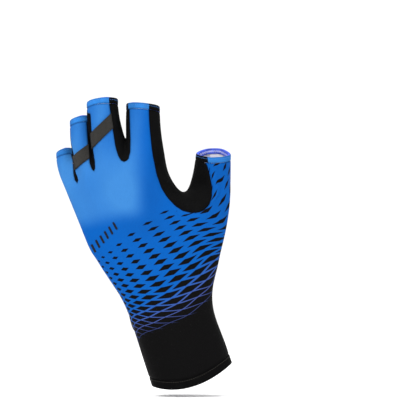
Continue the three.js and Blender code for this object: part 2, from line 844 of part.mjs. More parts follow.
for (const [name, outline] of Object.entries(PADS)) {
  const field = outlineField(curved(outline.map(([x, z]) => placed({ x, z })), true));
  const pad = trim(patchOf(skin, (face) => face.side === "palm" && face.band === "cloth"), field);
  const height = (point) =>
    THREE.MathUtils.lerp(PAD_LIP, PAD_HEIGHT, smooth(-field(point) / PAD_EDGE));
  addPiece(name, shell(pad, (point) => LAID_GAP + height(point), height), PAD_SUEDE);
}

for (const ribbon of RIBBONS) {
  const start = placed({ x: ribbon.x0, z: ribbon.z0 });
  const end = placed({ x: ribbon.x1, z: ribbon.z1 });
  const overrun = end.clone().sub(start);
  const line = [start.clone().sub(overrun), end.clone().add(overrun)];
  const isFingerBack = (face) => face.where === ribbon.finger && face.side === "back";
  const finger = patchOf(fineSkin, (face) => isFingerBack(face) && face.band === "cloth");
  const strip = trim(finger, stripField(line, RIBBON_WIDTH, 0));
  const ribbonShell = shell(strip, () => LAID_GAP + RIBBON_WALL, () => RIBBON_WALL);
  addPiece(`pull_ribbon_${ribbon.finger}`, ribbonShell, WOVEN_TAPE);
}

export default glove;
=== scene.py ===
"""Looks of a fingerless cycling glove for the left hand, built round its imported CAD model."""
import math

import bpy
import numpy as np
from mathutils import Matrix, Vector, kdtree


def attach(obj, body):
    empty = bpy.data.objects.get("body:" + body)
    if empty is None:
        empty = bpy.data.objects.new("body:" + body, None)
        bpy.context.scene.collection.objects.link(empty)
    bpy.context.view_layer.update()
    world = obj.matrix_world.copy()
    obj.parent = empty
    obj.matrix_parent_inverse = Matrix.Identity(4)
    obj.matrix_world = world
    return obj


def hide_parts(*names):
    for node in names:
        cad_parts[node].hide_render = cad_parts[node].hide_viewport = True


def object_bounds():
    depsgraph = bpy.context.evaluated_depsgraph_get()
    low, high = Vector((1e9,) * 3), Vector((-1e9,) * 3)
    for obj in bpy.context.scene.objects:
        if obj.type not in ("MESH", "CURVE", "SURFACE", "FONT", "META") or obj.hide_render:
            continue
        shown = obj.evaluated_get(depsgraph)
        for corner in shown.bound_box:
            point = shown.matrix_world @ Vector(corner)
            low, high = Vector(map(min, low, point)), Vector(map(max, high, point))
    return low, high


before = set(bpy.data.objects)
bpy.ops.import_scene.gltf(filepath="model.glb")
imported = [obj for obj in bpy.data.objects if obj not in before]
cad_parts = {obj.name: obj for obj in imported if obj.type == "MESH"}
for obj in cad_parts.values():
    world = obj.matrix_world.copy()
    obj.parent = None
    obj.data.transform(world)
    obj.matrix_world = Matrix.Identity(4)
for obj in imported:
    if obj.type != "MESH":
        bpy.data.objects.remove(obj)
cad_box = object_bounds()

MM = 0.001

# Sizes of the glove, millimetres, as in the CAD model
REACH = 231.5
BREADTH = 86
THICKNESS = 44
STRETCH_WALL = 1.4
SUEDE_WALL = 1.8
GUSSET_WALL = 1.2
SEAM_WALL = 1.1
HEM_WALL = 2.4
FINGER_HEM = 5
CUFF_HEM = 8
LAID_GAP = 0.35
STRAP_WIDTH = 18
STRAP_CORNER = 4
STRAP_RAMP = 12
PAD_HEIGHT = 1.8
PAD_LIP = 0.72
PAD_EDGE = 6
RIBBON_WIDTH = 10
RIBBON_WALL = 1
ROUNDNESS = 0.909
FIT_STEPS = 8
WEDGE_OPENING = 2
FINGER_EASE = 1.6
SEAM_GAP = 0.1  # drawn closer than the CAD's, so that no light comes through
SNAP = 0.15
CURVE_STEPS = 8
SKIN_LEVEL = 3
FINE_LEVEL = 4
SHARP_ANGLE = math.radians(55)
SOFT_FROM = 0.5  # from here off a seam the soft folds rise, over SOFT_SPAN
SOFT_SPAN = 5
EDGE_REACH = 6


def table(columns, rows):
    return [dict(zip(columns, row)) for row in rows]


TRUNK = table(
    ["leftX", "leftZ", "rightX", "rightZ", "back", "palm", "dip"],
    [
        [-0.36, -0.069, 0.414, 0.015, 0.541, 0.545, 0.039],
        [-0.386, -0.037, 0.388, 0.047, 0.536, 0.541, 0.039],
        [-0.414, -0.003, 0.36, 0.081, 0.527, 0.532, 0.039],
        [-0.467, 0.057, 0.306, 0.132, 0.509, 0.514, 0.03],
        [-0.538, 0.14, 0.248, 0.188, 0.486, 0.491, 0.022],
        [-0.605, 0.214, 0.205, 0.246, 0.464, 0.468, 0.013],
        [-0.679, 0.276, 0.198, 0.307, 0.441, 0.464, 0.006],
        [-0.751, 0.319, 0.23, 0.363, 0.418, 0.473, 0.004],
        [-0.817, 0.356, 0.272, 0.434, 0.4, 0.486, 0.009],
        [-0.879, 0.391, 0.317, 0.505, 0.386, 0.491, 0.015],
        [-0.937, 0.425, 0.353, 0.581, 0.377, 0.482, 0.022],
        [-0.994, 0.46, 0.37, 0.652, 0.368, 0.464, 0.026],
    ]
)
COLUMN_TURN = table(
    ["column", "cuff", "crotch"],
    [
        [0, 180, 180],
        [1, 168, 168],
        [9, 69, 62],
        [10, 57, 38],
        [13, 20, 0],
        [14, 8, -18],
        [17, -39, -62],
        [25, -164, -168],
        [26, -180, -180],
    ]
)
KNUCKLES = table(
    ["x", "y", "z"],
    [
        [-1.238, 0.295, 0.68],
        [-1.226, 0.11, 0.68],
        [-1.172, 0.0, 0.685],
        [-1.11, -0.07, 0.692],
        [-1.033, -0.227, 0.715],
        [-0.944, -0.239, 0.734],
        [-0.8, -0.318, 0.752],
        [-0.652, -0.273, 0.765],
        [-0.506, -0.307, 0.778],
        [-0.372, -0.216, 0.786],
        [-0.267, 0.057, 0.793],
        [-0.331, 0.295, 0.795],
        [-0.477, 0.398, 0.803],
        [-0.651, 0.352, 0.812],
        [-0.802, 0.42, 0.795],
        [-0.953, 0.398, 0.778],
        [-1.052, 0.5, 0.756],
        [-1.134, 0.51, 0.734],
        [-1.198, 0.58, 0.713],
        [-1.233, 0.48, 0.693],
    ]
)
HAND_BEND = table(
    ["x", "z"],
    [
        [-0.064, -0.036],
        [-0.07, -0.026],
    ]
)
WEBS = table(
    ["x", "y", "z"],
    [
        [-1.151, 0.25, 0.762],
        [-0.967, 0.091, 0.808],
        [-0.643, 0.057, 0.85],
    ]
)
FINGERS = table(
    ["name", "x", "y", "halfX", "halfY", "leftZ", "rightZ", "rise", "sink"],
    [
        ["pinky", -1.24, 0.682, 0.084, 0.193, 0.802, 0.815, 0.009, 0.013],
        ["ring", -1.078, 0.341, 0.106, 0.205, 0.917, 0.93, 0.009, 0.017],
        ["middle", -0.864, 0.091, 0.151, 0.239, 0.982, 0.991, 0.011, 0.019],
        ["index", -0.474, 0.136, 0.164, 0.227, 0.975, 0.965, 0.009, 0.022],
    ]
)
THUMB = table(
    ["leftX", "rightX", "leftZ", "rightZ", "y", "halfY", "backDrop", "palmRise", "tiltPower"],
    [
        [-0.019, 0.372, 0.683, 0.695, 0.114, 0.341, 0.046, -0.039, 3],
        [0.021, 0.373, 0.73, 0.737, 0.136, 0.318, 0.043, -0.004, 2],
        [0.045, 0.373, 0.796, 0.796, 0.136, 0.295, 0.012, 0.022, 1],
    ]
)
SUEDE_EDGE = table(
    ["x", "z"],
    [
        [-0.72, 0.25],
        [-0.63, 0.225],
        [-0.57, 0.185],
        [-0.53, 0.158],
        [-0.43, 0.17],
        [-0.35, 0.195],
        [-0.306, 0.222],
        [-0.233, 0.272],
        [-0.145, 0.337],
        [-0.023, 0.389],
        [0.116, 0.428],
        [0.256, 0.458],
        [0.465, 0.484],
    ]
)
STRAP_LINE = table(
    ["x", "z"],
    [
        [-0.465, 0.235],
        [-0.425, 0.18],
        [-0.355, 0.104],
        [-0.28, 0.026],
        [-0.22, -0.06],
    ]
)
RIBBONS = table(
    ["finger", "x0", "z0", "x1", "z1"],
    [
        ["ring", -1.153, 0.758, -1.012, 0.8],
        ["middle", -0.967, 0.841, -0.771, 0.914],
    ]
)
RIM_ROW = 1
HEM_ROW = 2
TRUNK_COLUMNS = 26
FIRST_BACK = 1
BACK_SEAM = 9
THUMB_SEAM = 14
PALM_SEAM = 17
HAND_STEPS = 3
FINGER_STEPS = 3
BEND_SHARES = {7: 0.2, 8: 0.5, 9: 1, 10: 0.4, 11: 1, 12: 0.5, 13: 0.2}
THUMB_WEB = {"x": -0.087, "y": 0.068, "z": 0.66}
FINGER_TURNS = {
    "pinky": [-160, 172, 126, 80, 24, -32, -84, -134],
    "ring": [-162, 175, 123, 72, 18, -36, -86, -136],
    "middle": [-162, 175, 120, 64, 10, -42, -88, -136],
    "index": [-173, 150, 110, 69, 12, -45, -90, -135],
}
THUMB_TURNS = [
    [180, 86, 62, 40, 14, -10, -34, -62, -92, -128],
    [180, 92, 66, 40, 14, -12, -44, -72, -102, -138],
    [180, 112, 84, 56, 26, -6, -52, -82, -112, -146],
]
PADS = {
    "grip_pad_upper": [
        [-1.081, 0.609], [-0.988, 0.667], [-0.866, 0.689], [-0.737, 0.696], [-0.631, 0.739],
        [-0.477, 0.765], [-0.337, 0.756], [-0.285, 0.706], [-0.343, 0.646], [-0.577, 0.601],
        [-0.815, 0.543], [-0.972, 0.53],
    ],
    "grip_pad_heel": [
        [-0.93, 0.475], [-0.802, 0.486], [-0.645, 0.49], [-0.576, 0.423], [-0.541, 0.363],
        [-0.494, 0.302], [-0.57, 0.272], [-0.651, 0.285], [-0.733, 0.341], [-0.831, 0.406],
    ],
    "grip_pad_thumb": [
        [-0.593, 0.508], [-0.538, 0.56], [-0.453, 0.592], [-0.36, 0.601], [-0.25, 0.583],
        [-0.163, 0.546], [-0.131, 0.505], [-0.143, 0.462], [-0.184, 0.415], [-0.238, 0.371],
        [-0.314, 0.328], [-0.43, 0.305], [-0.483, 0.341], [-0.529, 0.41],
    ],
}

WHERE = ["trunk", "hand", "thumb", "pinky", "ring", "middle", "index"]
BAND = ["guide", "hem", "cloth"]
SIDE = ["back", "palm", "thumb_band", "gap_1", "gap_2", "gap_3"]


# The cage of the glove: points with x, y, z and a developed x that goes round the sides


def placed(row):
    return np.array([row["x"] * BREADTH, row.get("y", 0) * THICKNESS, row["z"] * REACH])


def smooth(t):
    t = np.clip(t, 0, 1)
    return t * t * (3 - 2 * t)


def mix(a, b, t):
    return a + (b - a) * t


def signed_power(value, exponent):
    return math.copysign(abs(value) ** exponent, value)


cage_points = []
cage_faces = []
cage_labels = []


def add_point(position):
    cage_points.append(np.array(position, float))
    return len(cage_points) - 1


def bridge(lower, upper, labels):
    count = len(lower)
    for i in range(count):
        j = (i + 1) % count
        where, band, side = labels(i)
        cage_faces.append([lower[i], lower[j], upper[j], upper[i]])
        cage_labels.append([WHERE.index(where), BAND.index(band), SIDE.index(side)])


def column_angle(column, climb):
    knot = next(i for i, row in enumerate(COLUMN_TURN) if row["column"] >= column)
    upper = COLUMN_TURN[knot]
    lower = COLUMN_TURN[max(knot - 1, 0)]
    along = (column - lower["column"]) / ((upper["column"] - lower["column"]) or 1)
    cuff = mix(lower["cuff"], upper["cuff"], along)
    crotch = mix(lower["crotch"], upper["crotch"], along)
    return math.radians(mix(cuff, crotch, climb))


def trunk_position(row, column, climb):
    angle = column_angle(column, climb)
    across = signed_power(math.cos(angle), ROUNDNESS)
    depth = signed_power(math.sin(angle), ROUNDNESS)
    share = (across + 1) / 2
    return placed({
        "x": mix(row["leftX"], row["rightX"], share),
        "y": -depth * (row["back"] if depth > 0 else row["palm"]),
        "z": mix(row["leftZ"], row["rightZ"], share) - row["dip"] * (1 - across * across),
    })


def unit(v):
    return v / np.linalg.norm(v)


def build_trunk():
    rows = len(TRUNK) - 1 - RIM_ROW
    positions = []
    for index, row in enumerate(TRUNK):
        climb = float(smooth(max(index - RIM_ROW, 0) / rows))
        positions.append([trunk_position(row, c, climb) for c in range(TRUNK_COLUMNS)])
    positions[HEM_ROW] = [
        rim + unit(above - rim) * CUFF_HEM
        for rim, above in zip(positions[RIM_ROW], positions[HEM_ROW + 1])
    ]
    rings = [[add_point(p) for p in ring] for ring in positions]
    for row in range(len(rings) - 1):
        band = "guide" if row < RIM_ROW else "hem" if row < HEM_ROW else "cloth"
        bridge(rings[row], rings[row + 1],
               lambda i: ("trunk", band, "back" if i < THUMB_SEAM else "palm"))
    return rings


def build_hand(crotch_ring):
    web = add_point(placed(THUMB_WEB))
    start = [*crotch_ring[:BACK_SEAM + 1], web, *crotch_ring[PALM_SEAM:]]
    goals = [placed(row) for row in KNUCKLES]
    rings = [start]
    for step in range(1, HAND_STEPS + 1):
        upper = []
        for i, goal in enumerate(goals):
            position = mix(cage_points[start[i]], goal, step / HAND_STEPS)
            if step <= len(HAND_BEND):
                share = BEND_SHARES.get(i, 0)
                position = position + placed(HAND_BEND[step - 1]) * share
            upper.append(add_point(position))

        def label(i):
            side = "back" if i < BACK_SEAM else "thumb_band" if i < BACK_SEAM + 2 else "palm"
            return "hand", "cloth", side

        bridge(rings[-1], upper, label)
        rings.append(upper)
    return rings, web


def thumb_position(row, turn):
    angle = math.radians(turn)
    back = math.sin(angle)
    share = (math.cos(angle) + 1) / 2
    if back > 0:
        tilt = -row["backDrop"] * back ** row["tiltPower"]
    else:
        tilt = -row["palmRise"] * back
    return placed({
        "x": mix(row["leftX"], row["rightX"], share),
        "y": row["y"] - row["halfY"] * back,
        "z": mix(row["leftZ"], row["rightZ"], share) + tilt,
    })


def build_thumb(crotch_ring, web):
    start = [web, *crotch_ring[BACK_SEAM:PALM_SEAM + 1]]
    outer, last = THUMB_SEAM - BACK_SEAM + 1, len(start) - 1
    rows = [[thumb_position(row, t) for t in turns] for row, turns in zip(THUMB, THUMB_TURNS)]
    hem = [rim + unit(below - rim) * FINGER_HEM for rim, below in zip(rows[-1], rows[-2])]
    rows.insert(len(rows) - 1, hem)
    rings = [start]
    for index, row in enumerate(rows):
        upper = [add_point(p) for p in row]
        band = "hem" if index == len(rows) - 1 else "cloth"

        def label(i):
            side = "thumb_band" if i in (0, last) else "back" if i < outer else "palm"
            return "thumb", band, side

        bridge(rings[-1], upper, label)
        rings.append(upper)
    return rings


def rim_position(finger, turn):
    angle = math.radians(turn)
    back = math.sin(angle)
    share = (math.cos(angle) + 1) / 2
    tilt = (finger["rise"] if back > 0 else finger["sink"]) * back
    return placed({
        "x": finger["x"] + finger["halfX"] * math.cos(angle),
        "y": finger["y"] - finger["halfY"] * back,
        "z": mix(finger["leftZ"], finger["rightZ"], share) + tilt,
    })


def wedge_way(index, column):
    if column in (1, 7) and index > 0:
        return 1
    return -1 if column in (3, 5) and index < len(FINGERS) - 1 else 0


def build_finger(finger, index, knuckles, webs):
    first = FIRST_BACK + 2 * index
    last = len(knuckles) - 2 * index
    left_web = knuckles[0] if index == 0 else webs[index - 1]
    right_web = knuckles[BACK_SEAM + 1] if index == len(FINGERS) - 1 else webs[index]
    start = [left_web, knuckles[first], knuckles[first + 1], knuckles[first + 2], right_web,
             knuckles[last - 3], knuckles[last - 2], knuckles[last - 1]]
    rim = [rim_position(finger, t) for t in FINGER_TURNS[finger["name"]]]
    left = None if index == 0 else f"gap_{index}"
    right = "thumb_band" if index == len(FINGERS) - 1 else f"gap_{index + 1}"
    sides = [left or "back", "back", "back", right, right, "palm", "palm", left or "palm"]
    lower = start
    for step in range(1, FINGER_STEPS + 1):
        along = step / FINGER_STEPS
        ease = 1 - (1 - along) ** FINGER_EASE
        upper = []
        for i, point in enumerate(rim):
            root = cage_points[start[i]]
            hem = point - np.array([0, 0, FINGER_HEM])
            position = mix(root, hem, ease)
            position[2] = mix(root[2], hem[2], along)
            if step == 1:
                position[0] += WEDGE_OPENING * wedge_way(index, i)
            upper.append(add_point(position))
        bridge(lower, upper, lambda i: (finger["name"], "cloth", sides[i]))
        lower = upper
    top = [add_point(p) for p in rim]
    bridge(lower, top, lambda i: (finger["name"], "hem", sides[i]))


trunk_rings = build_trunk()
hand_rings, thumb_web = build_hand(trunk_rings[-1])
finger_webs = [add_point(placed(row)) for row in WEBS]
for number, row in enumerate(FINGERS):
    build_finger(row, number, hand_rings[-1], finger_webs)
thumb_rings = build_thumb(trunk_rings[-1], thumb_web)

points = np.array(cage_points)
developed = points[:, 0].copy()


def develop(ring, start, way, count):
    """Lets the developed x grow by the full length round the side, and by x alone on the back."""
    for k in range(count):
        a = ring[(start + way * k) % len(ring)]
        b = ring[(start + way * (k + 1)) % len(ring)]
        dx, dy = points[b, 0] - points[a, 0], points[b, 1] - points[a, 1]
        turned = smooth((abs(dy) / (abs(dx) + abs(dy)) - 0.3) / 0.3)
        developed[b] = developed[a] + way * math.hypot(dx, dy * turned)


CENTRE_COLUMN = 5
ROUND_RIGHT = 14
ROUND_LEFT = 10
ROUND_HAND = 8
for ring in trunk_rings:
    develop(ring, CENTRE_COLUMN, 1, ROUND_RIGHT)
    develop(ring, CENTRE_COLUMN, -1, ROUND_LEFT)
for ring in hand_rings[1:]:
    develop(ring, CENTRE_COLUMN, -1, ROUND_HAND)
for ring in thumb_rings[1:]:
    develop(ring, 1, 1, ROUND_HAND)

cage = np.column_stack([points, developed])
faces = np.array(cage_faces)
labels = np.array(cage_labels)


# The smooth surface over the cage


def edge_table(loops):
    ends = np.stack([loops, np.roll(loops, -1, 1)], 2).reshape(-1, 2)
    ends.sort(axis=1)
    edges, which, uses = np.unique(ends, axis=0, return_inverse=True, return_counts=True)
    return edges, which.reshape(-1, 4), uses


def around(values, loops):
    edges, which, uses = edge_table(loops)
    near = np.zeros_like(values)
    far = np.zeros_like(values)
    rim = np.zeros_like(values)
    count = np.zeros(len(values))
    open_count = np.zeros(len(values))
    for a, b in ((0, 1), (1, 0)):
        np.add.at(near, edges[:, a], values[edges[:, b]])
        np.add.at(count, edges[:, a], 1)
        free = edges[uses == 1]
        np.add.at(rim, free[:, a], values[free[:, b]])
        np.add.at(open_count, free[:, a], 1)
    for i in range(4):
        np.add.at(far, loops[:, i], values[loops[:, (i + 2) % 4]])
    return near, far, rim, count[:, None], open_count[:, None] == 2, edges, which, uses


def limit(values, loops):
    near, far, rim, n, is_open, *_ = around(values, loops)
    inner = (n * n * values + 4 * near + far) / (n * (n + 5))
    return np.where(is_open, (4 * values + rim) / 6, inner)


def subdivide(values, loops):
    near, far, rim, n, is_open, edges, which, uses = around(values, loops)
    inner = (values * (n * n - 7 * n / 4) + near * 3 / 2 + far / 4) / (n * n)
    moved = np.where(is_open, (6 * values + rim) / 8, inner)
    centres = values[loops].mean(1)
    middle = values[edges].sum(1)
    beside = np.zeros_like(middle)
    np.add.at(beside, which.ravel(), np.repeat(centres, 4, 0))
    middle = np.where((uses == 2)[:, None], (middle + beside) / 4, middle / 2)
    first_edge, first_centre = len(values), len(values) + len(edges)
    edge_ids = which + first_edge
    centre_ids = first_centre + np.arange(len(loops))
    parts = [
        np.stack([loops[:, i], edge_ids[:, i], centre_ids, edge_ids[:, (i + 3) % 4]], 1)
        for i in range(4)
    ]
    return np.vstack([moved, middle, centres]), np.stack(parts, 1).reshape(-1, 4)


goal = cage.copy()
for _ in range(FIT_STEPS):
    cage += goal - limit(cage, faces)


class Patch:
    """Points with normals and extra values, and labelled triangles over them.

    The first extra value is the developed x, the next ones say how far a point is from a region.
    """

    def __init__(self, points, normals, extra, triangles, labels):
        self.points, self.normals, self.extra = points, normals, extra
        self.triangles, self.labels = triangles, labels

    def where(self, *names):
        return np.isin(self.labels[:, 0], [WHERE.index(n) for n in names])

    def band(self, name):
        return self.labels[:, 1] == BAND.index(name)

    def side(self, *names):
        return np.isin(self.labels[:, 2], [SIDE.index(n) for n in names])

    def keep(self, chosen):
        return Patch(self.points, self.normals, self.extra, self.triangles[chosen],
                     self.labels[chosen])


def make_skin(values, loops, loop_labels):
    surface = limit(values, loops)
    xyz = surface[:, :3]
    cross = np.cross(xyz[loops[:, 2]] - xyz[loops[:, 0]], xyz[loops[:, 3]] - xyz[loops[:, 1]])
    normals = np.zeros_like(xyz)
    for i in range(4):
        np.add.at(normals, loops[:, i], cross)
    normals /= np.linalg.norm(normals, axis=1)[:, None]
    triangles = np.stack([loops[:, [0, 1, 2]], loops[:, [0, 2, 3]]], 1).reshape(-1, 3)
    return Patch(xyz, normals, surface[:, 3:], triangles, np.repeat(loop_labels, 2, 0))


skins = []
values, loops, loop_labels = cage, faces, labels
for _ in range(FINE_LEVEL):
    values, loops = subdivide(values, loops)
    loop_labels = np.repeat(loop_labels, 4, 0)
    skins.append((values, loops, loop_labels))
skin = make_skin(*skins[SKIN_LEVEL - 1])
fine_skin = make_skin(*skins[FINE_LEVEL - 1])


def largest_part(patch):
    """The largest piece whose triangles hang together by their edges."""
    owner = {}
    for index, corners in enumerate(patch.triangles):
        for i in range(3):
            owner[(corners[i], corners[(i + 1) % 3])] = index
    part = np.full(len(patch.triangles), -1)
    sizes = []
    for start in range(len(patch.triangles)):
        if part[start] >= 0:
            continue
        part[start] = len(sizes)
        queue, size = [start], 0
        while queue:
            index = queue.pop()
            size += 1
            corners = patch.triangles[index]
            for i in range(3):
                other = owner.get((corners[(i + 1) % 3], corners[i]))
                if other is not None and part[other] < 0:
                    part[other] = len(sizes)
                    queue.append(other)
        sizes.append(size)
    return patch.keep(part == int(np.argmax(sizes)))


def trim(patch, field, whole_part=True):
    """The part of a patch where field(points) is below zero."""
    used = np.unique(patch.triangles)
    value = np.full(len(patch.points), np.nan)
    value[used] = field(patch.points[used]) if callable(field) else field[used]
    points, normals, extra = list(patch.points), list(patch.normals), list(patch.extra)
    crossed = [t for t in range(len(patch.triangles))
               if value[patch.triangles[t]].min() < 0 < value[patch.triangles[t]].max()]
    moves = {}
    for t in crossed:
        for i in range(3):
            for near, far in ((i, (i + 1) % 3), ((i + 1) % 3, i)):
                a, b = patch.triangles[t][near], patch.triangles[t][far]
                if value[a] * value[b] < 0:
                    share = value[a] / (value[a] - value[b])
                    if share < SNAP and share < moves.get(a, (1,))[0]:
                        moves[a] = (share, b)
    old = {a: points[a] for a in moves}
    for a, (share, b) in moves.items():
        points[a] = mix(old[a], old.get(b, points[b]), share)
    for a in moves:
        value[a] = 0
    cuts = {}

    def crossing(a, b):
        key = (min(a, b), max(a, b))
        if key not in cuts:
            share = value[a] / (value[a] - value[b])
            points.append(mix(points[a], points[b], share))
            normals.append(unit(mix(normals[a], normals[b], share)))
            extra.append(mix(extra[a], extra[b], share))
            cuts[key] = len(points) - 1
        return cuts[key]

    low = value[patch.triangles].min(1)
    high = value[patch.triangles].max(1)
    whole = (low < 0) & (high <= 0)
    triangles, labels = [patch.triangles[whole]], [patch.labels[whole]]
    for t in np.nonzero((low < 0) & (high > 0))[0]:
        kept = []
        for i in range(3):
            a, b = patch.triangles[t][i], patch.triangles[t][(i + 1) % 3]
            if value[a] <= 0:
                kept.append(a)
            if value[a] * value[b] < 0:
                kept.append(crossing(a, b))
        fan = [[kept[0], kept[i], kept[i + 1]] for i in range(1, len(kept) - 1)]
        triangles.append(np.array(fan))
        labels.append(np.repeat(patch.labels[t][None], len(fan), 0))
    cut = Patch(np.array(points), np.array(normals), np.array(extra),
                np.vstack(triangles), np.vstack(labels))
    return largest_part(cut) if whole_part else cut


def rim_loops(triangles):
    edges = np.vstack([triangles[:, [i, (i + 1) % 3]] for i in range(3)])
    there = set(map(tuple, edges))
    return [(a, b) for a, b in there if (b, a) not in there]


def tree_over(places, ids):
    """A search tree over the places that ids names."""
    tree = kdtree.KDTree(len(ids))
    for i in ids:
        tree.insert(places[i], int(i))
    tree.balance()
    return tree


def curved(rows, closed):
    """Centripetal curve through the points of a table, in x and z."""
    p = np.array([placed(row)[[0, 2]] for row in rows])
    count = len(p)
    samples = []
    for k in range(count if closed else count - 1):
        if closed:
            q = [p[(k + j) % count] for j in (-1, 0, 1, 2)]
        else:
            before = p[k - 1] if k > 0 else 2 * p[0] - p[1]
            after = p[k + 2] if k + 2 < count else 2 * p[-1] - p[-2]
            q = [before, p[k], p[k + 1], after]
        d = [np.linalg.norm(q[i + 1] - q[i]) ** 0.5 for i in range(3)]
        t1 = (q[1] - q[0]) / d[0] - (q[2] - q[0]) / (d[0] + d[1]) + (q[2] - q[1]) / d[1]
        t2 = (q[2] - q[1]) / d[1] - (q[3] - q[1]) / (d[1] + d[2]) + (q[3] - q[2]) / d[2]
        t1, t2 = t1 * d[1], t2 * d[1]
        for i in range(CURVE_STEPS):
            t = i / CURVE_STEPS
            samples.append(q[1] + t1 * t + (-3 * q[1] + 3 * q[2] - 2 * t1 - t2) * t ** 2
                           + (2 * q[1] - 2 * q[2] + t1 + t2) * t ** 3)
    if not closed:
        samples.append(p[-1])
    return np.array(samples)


def front_view(points):
    """x and z of points, which may have only these."""
    return points[:, [0, 2]] if points.shape[1] == 3 else points


def outline_field(outline):
    """Signed distance from a closed outline, below zero inside it, seen along Y."""
    a = np.array(outline)
    b = np.roll(a, -1, 0)
    way = b - a
    length = (way ** 2).sum(1)

    def field(points):
        p = front_view(points)
        rel = p[:, None] - a[None]
        t = np.clip((rel * way).sum(2) / length, 0, 1)
        nearest = np.linalg.norm(rel - t[..., None] * way, axis=2).min(1)
        above = (a[None, :, 1] > p[:, None, 1]) != (b[None, :, 1] > p[:, None, 1])
        with np.errstate(divide="ignore", invalid="ignore"):
            cross = a[None, :, 0] + rel[..., 1] / way[:, 1] * way[:, 0]
        inside = (above & (p[:, None, 0] < cross)).sum(1) % 2 == 1
        return np.where(inside, -nearest, nearest)

    return field


def strip_field(line, width, corner):
    """Signed distance from a strip along an open line, seen along Y, square at its last point."""
    a, b = line[:-1], line[1:]
    length = np.linalg.norm(b - a, axis=1)
    way = (b - a) / length[:, None]

    def field(points):
        p = front_view(points)
        rel = p[:, None] - a[None]
        along = (rel * way).sum(2)
        kept = np.clip(along, 0, length)
        distance = np.linalg.norm(rel - kept[..., None] * way, axis=2)
        best = distance.argmin(1)
        rows = np.arange(len(p))
        side = np.abs(rel[rows, best, 0] * way[best, 1] - rel[rows, best, 1] * way[best, 0])
        beyond = np.where(best == len(a) - 1, along[rows, best] - length[best], -corner)
        out_x = np.maximum(side - (width / 2 - corner), 0)
        out_z = np.maximum(beyond + corner, 0)
        return np.where(out_x + out_z > 0, np.hypot(out_x, out_z) - corner, side - width / 2)

    return field


suede_curve = curved(SUEDE_EDGE, False)
far_side = 2 * BREADTH
suede_field = outline_field([
    *suede_curve, [far_side, suede_curve[-1, 1]], [far_side, 2 * REACH],
    [-far_side, 2 * REACH], [-far_side, suede_curve[0, 1]],
])
strap_curve = curved(STRAP_LINE, False)
strap_field = strip_field(strap_curve, STRAP_WIDTH, STRAP_CORNER)
strap_way = unit(strap_curve[-1] - strap_curve[0])
leaving = suede_curve[strap_field(suede_curve) < 0]
overlap_start = (leaving @ strap_way).min()


def palm_field(points):
    return np.minimum(suede_field(points), strap_field(points))


def strap_lift(points):
    along = (points[:, [0, 2]] @ strap_way - overlap_start) / STRAP_RAMP + 1
    return (SUEDE_WALL + LAID_GAP) * smooth(along)


# Outlines that the black parts have from the front, x and z in millimetres. The side walls
# keep the cage's own seams where they turn away from the front.
FRONT_OUTLINES = {
    "thumb_band": [
        (-35.8, 222), (-34.9, 207), (-33.7, 193.7), (-32, 182.1), (-29.1, 167.5), (-25, 155.9),
        (-20.5, 148.6), (-13.6, 141.2), (-7.4, 137.2), (0.8, 135.2), (8.4, 136.4), (14.2, 141.6),
        (16.3, 149.2), (16.2, 157.4), (14.6, 165.7), (12.3, 174.5), (4, 186), (-10, 186), (-27, 222),
    ],
    "gap_1": [
        (-102.6, 190), (-101.2, 186.0), (-99.9, 179.9), (-98.9, 168), (-97.6, 162.8), (-95.3, 159.8),
        (-94.2, 160.6), (-95.0, 164.2), (-97.1, 169), (-98.4, 180), (-100.3, 190),
    ],
    "gap_2": [
        (-88.2, 218), (-87.0, 205), (-86.3, 193), (-85.4, 182.9), (-84.5, 176.1), (-82.8, 171.6),
        (-81.3, 169.7), (-80.3, 171.8), (-80.8, 178.4), (-82.2, 186), (-83.2, 197), (-84.6, 218),
    ],
    "gap_3": [
        (-68.9, 232), (-68.2, 224.4), (-66.7, 213.1), (-65.0, 201.8), (-63.2, 190.4), (-61, 182.9),
        (-58.6, 178.8), (-55.4, 177.4), (-52.7, 180.0), (-51.3, 185.9), (-51.3, 198), (-51.9, 213),
        (-52.6, 232),
    ],
}


BAND_TOP = 186  # above it the thumb band keeps the cage's own seam, over BAND_FADE
BAND_FADE = 8
FACING_FROM = 0.12
FACING_SPAN = 0.3
FAR = 50.0


def add_regions(patch):
    """Adds to each point how far it is from each black region, below zero inside it."""
    extra = [patch.extra]
    cloth = patch.band("cloth")
    front = cloth & patch.side("back", *FRONT_OUTLINES)
    for name, outline in FRONT_OUTLINES.items():
        inside = front & patch.side(name)
        seam = np.intersect1d(patch.triangles[inside], patch.triangles[front & ~inside])
        tree = tree_over(patch.points, seam)
        used = np.unique(patch.triangles[front])
        value = np.full(len(patch.points), FAR)
        value[used] = [tree.find(patch.points[i])[2] for i in used]
        value[np.unique(patch.triangles[inside])] *= -1
        value[seam] = 0
        drawn = outline_field(outline)(patch.points[used])
        facing = smooth((-patch.normals[used, 1] - FACING_FROM) / FACING_SPAN)
        if name == "thumb_band":
            facing = facing * smooth((BAND_TOP - patch.points[used, 2]) / BAND_FADE)
        value[used] = mix(value[used], drawn, facing)
        extra.append(value[:, None])
    return Patch(patch.points, patch.normals, np.hstack(extra), patch.triangles, patch.labels)


skin, fine_skin = add_regions(skin), add_regions(fine_skin)


def front_cloth(patch):
    return patch.keep(patch.band("cloth") & patch.side("back", *FRONT_OUTLINES))


def region(patch, name):
    """The part of the front cloth that belongs to a black region."""
    column = 1 + list(FRONT_OUTLINES).index(name)
    return trim(front_cloth(patch), front_cloth(patch).extra[:, column])


def without_regions(patch):
    for column in range(1, 1 + len(FRONT_OUTLINES)):
        patch = trim(patch, -patch.extra[:, column], whole_part=False)
    return patch


# Materials


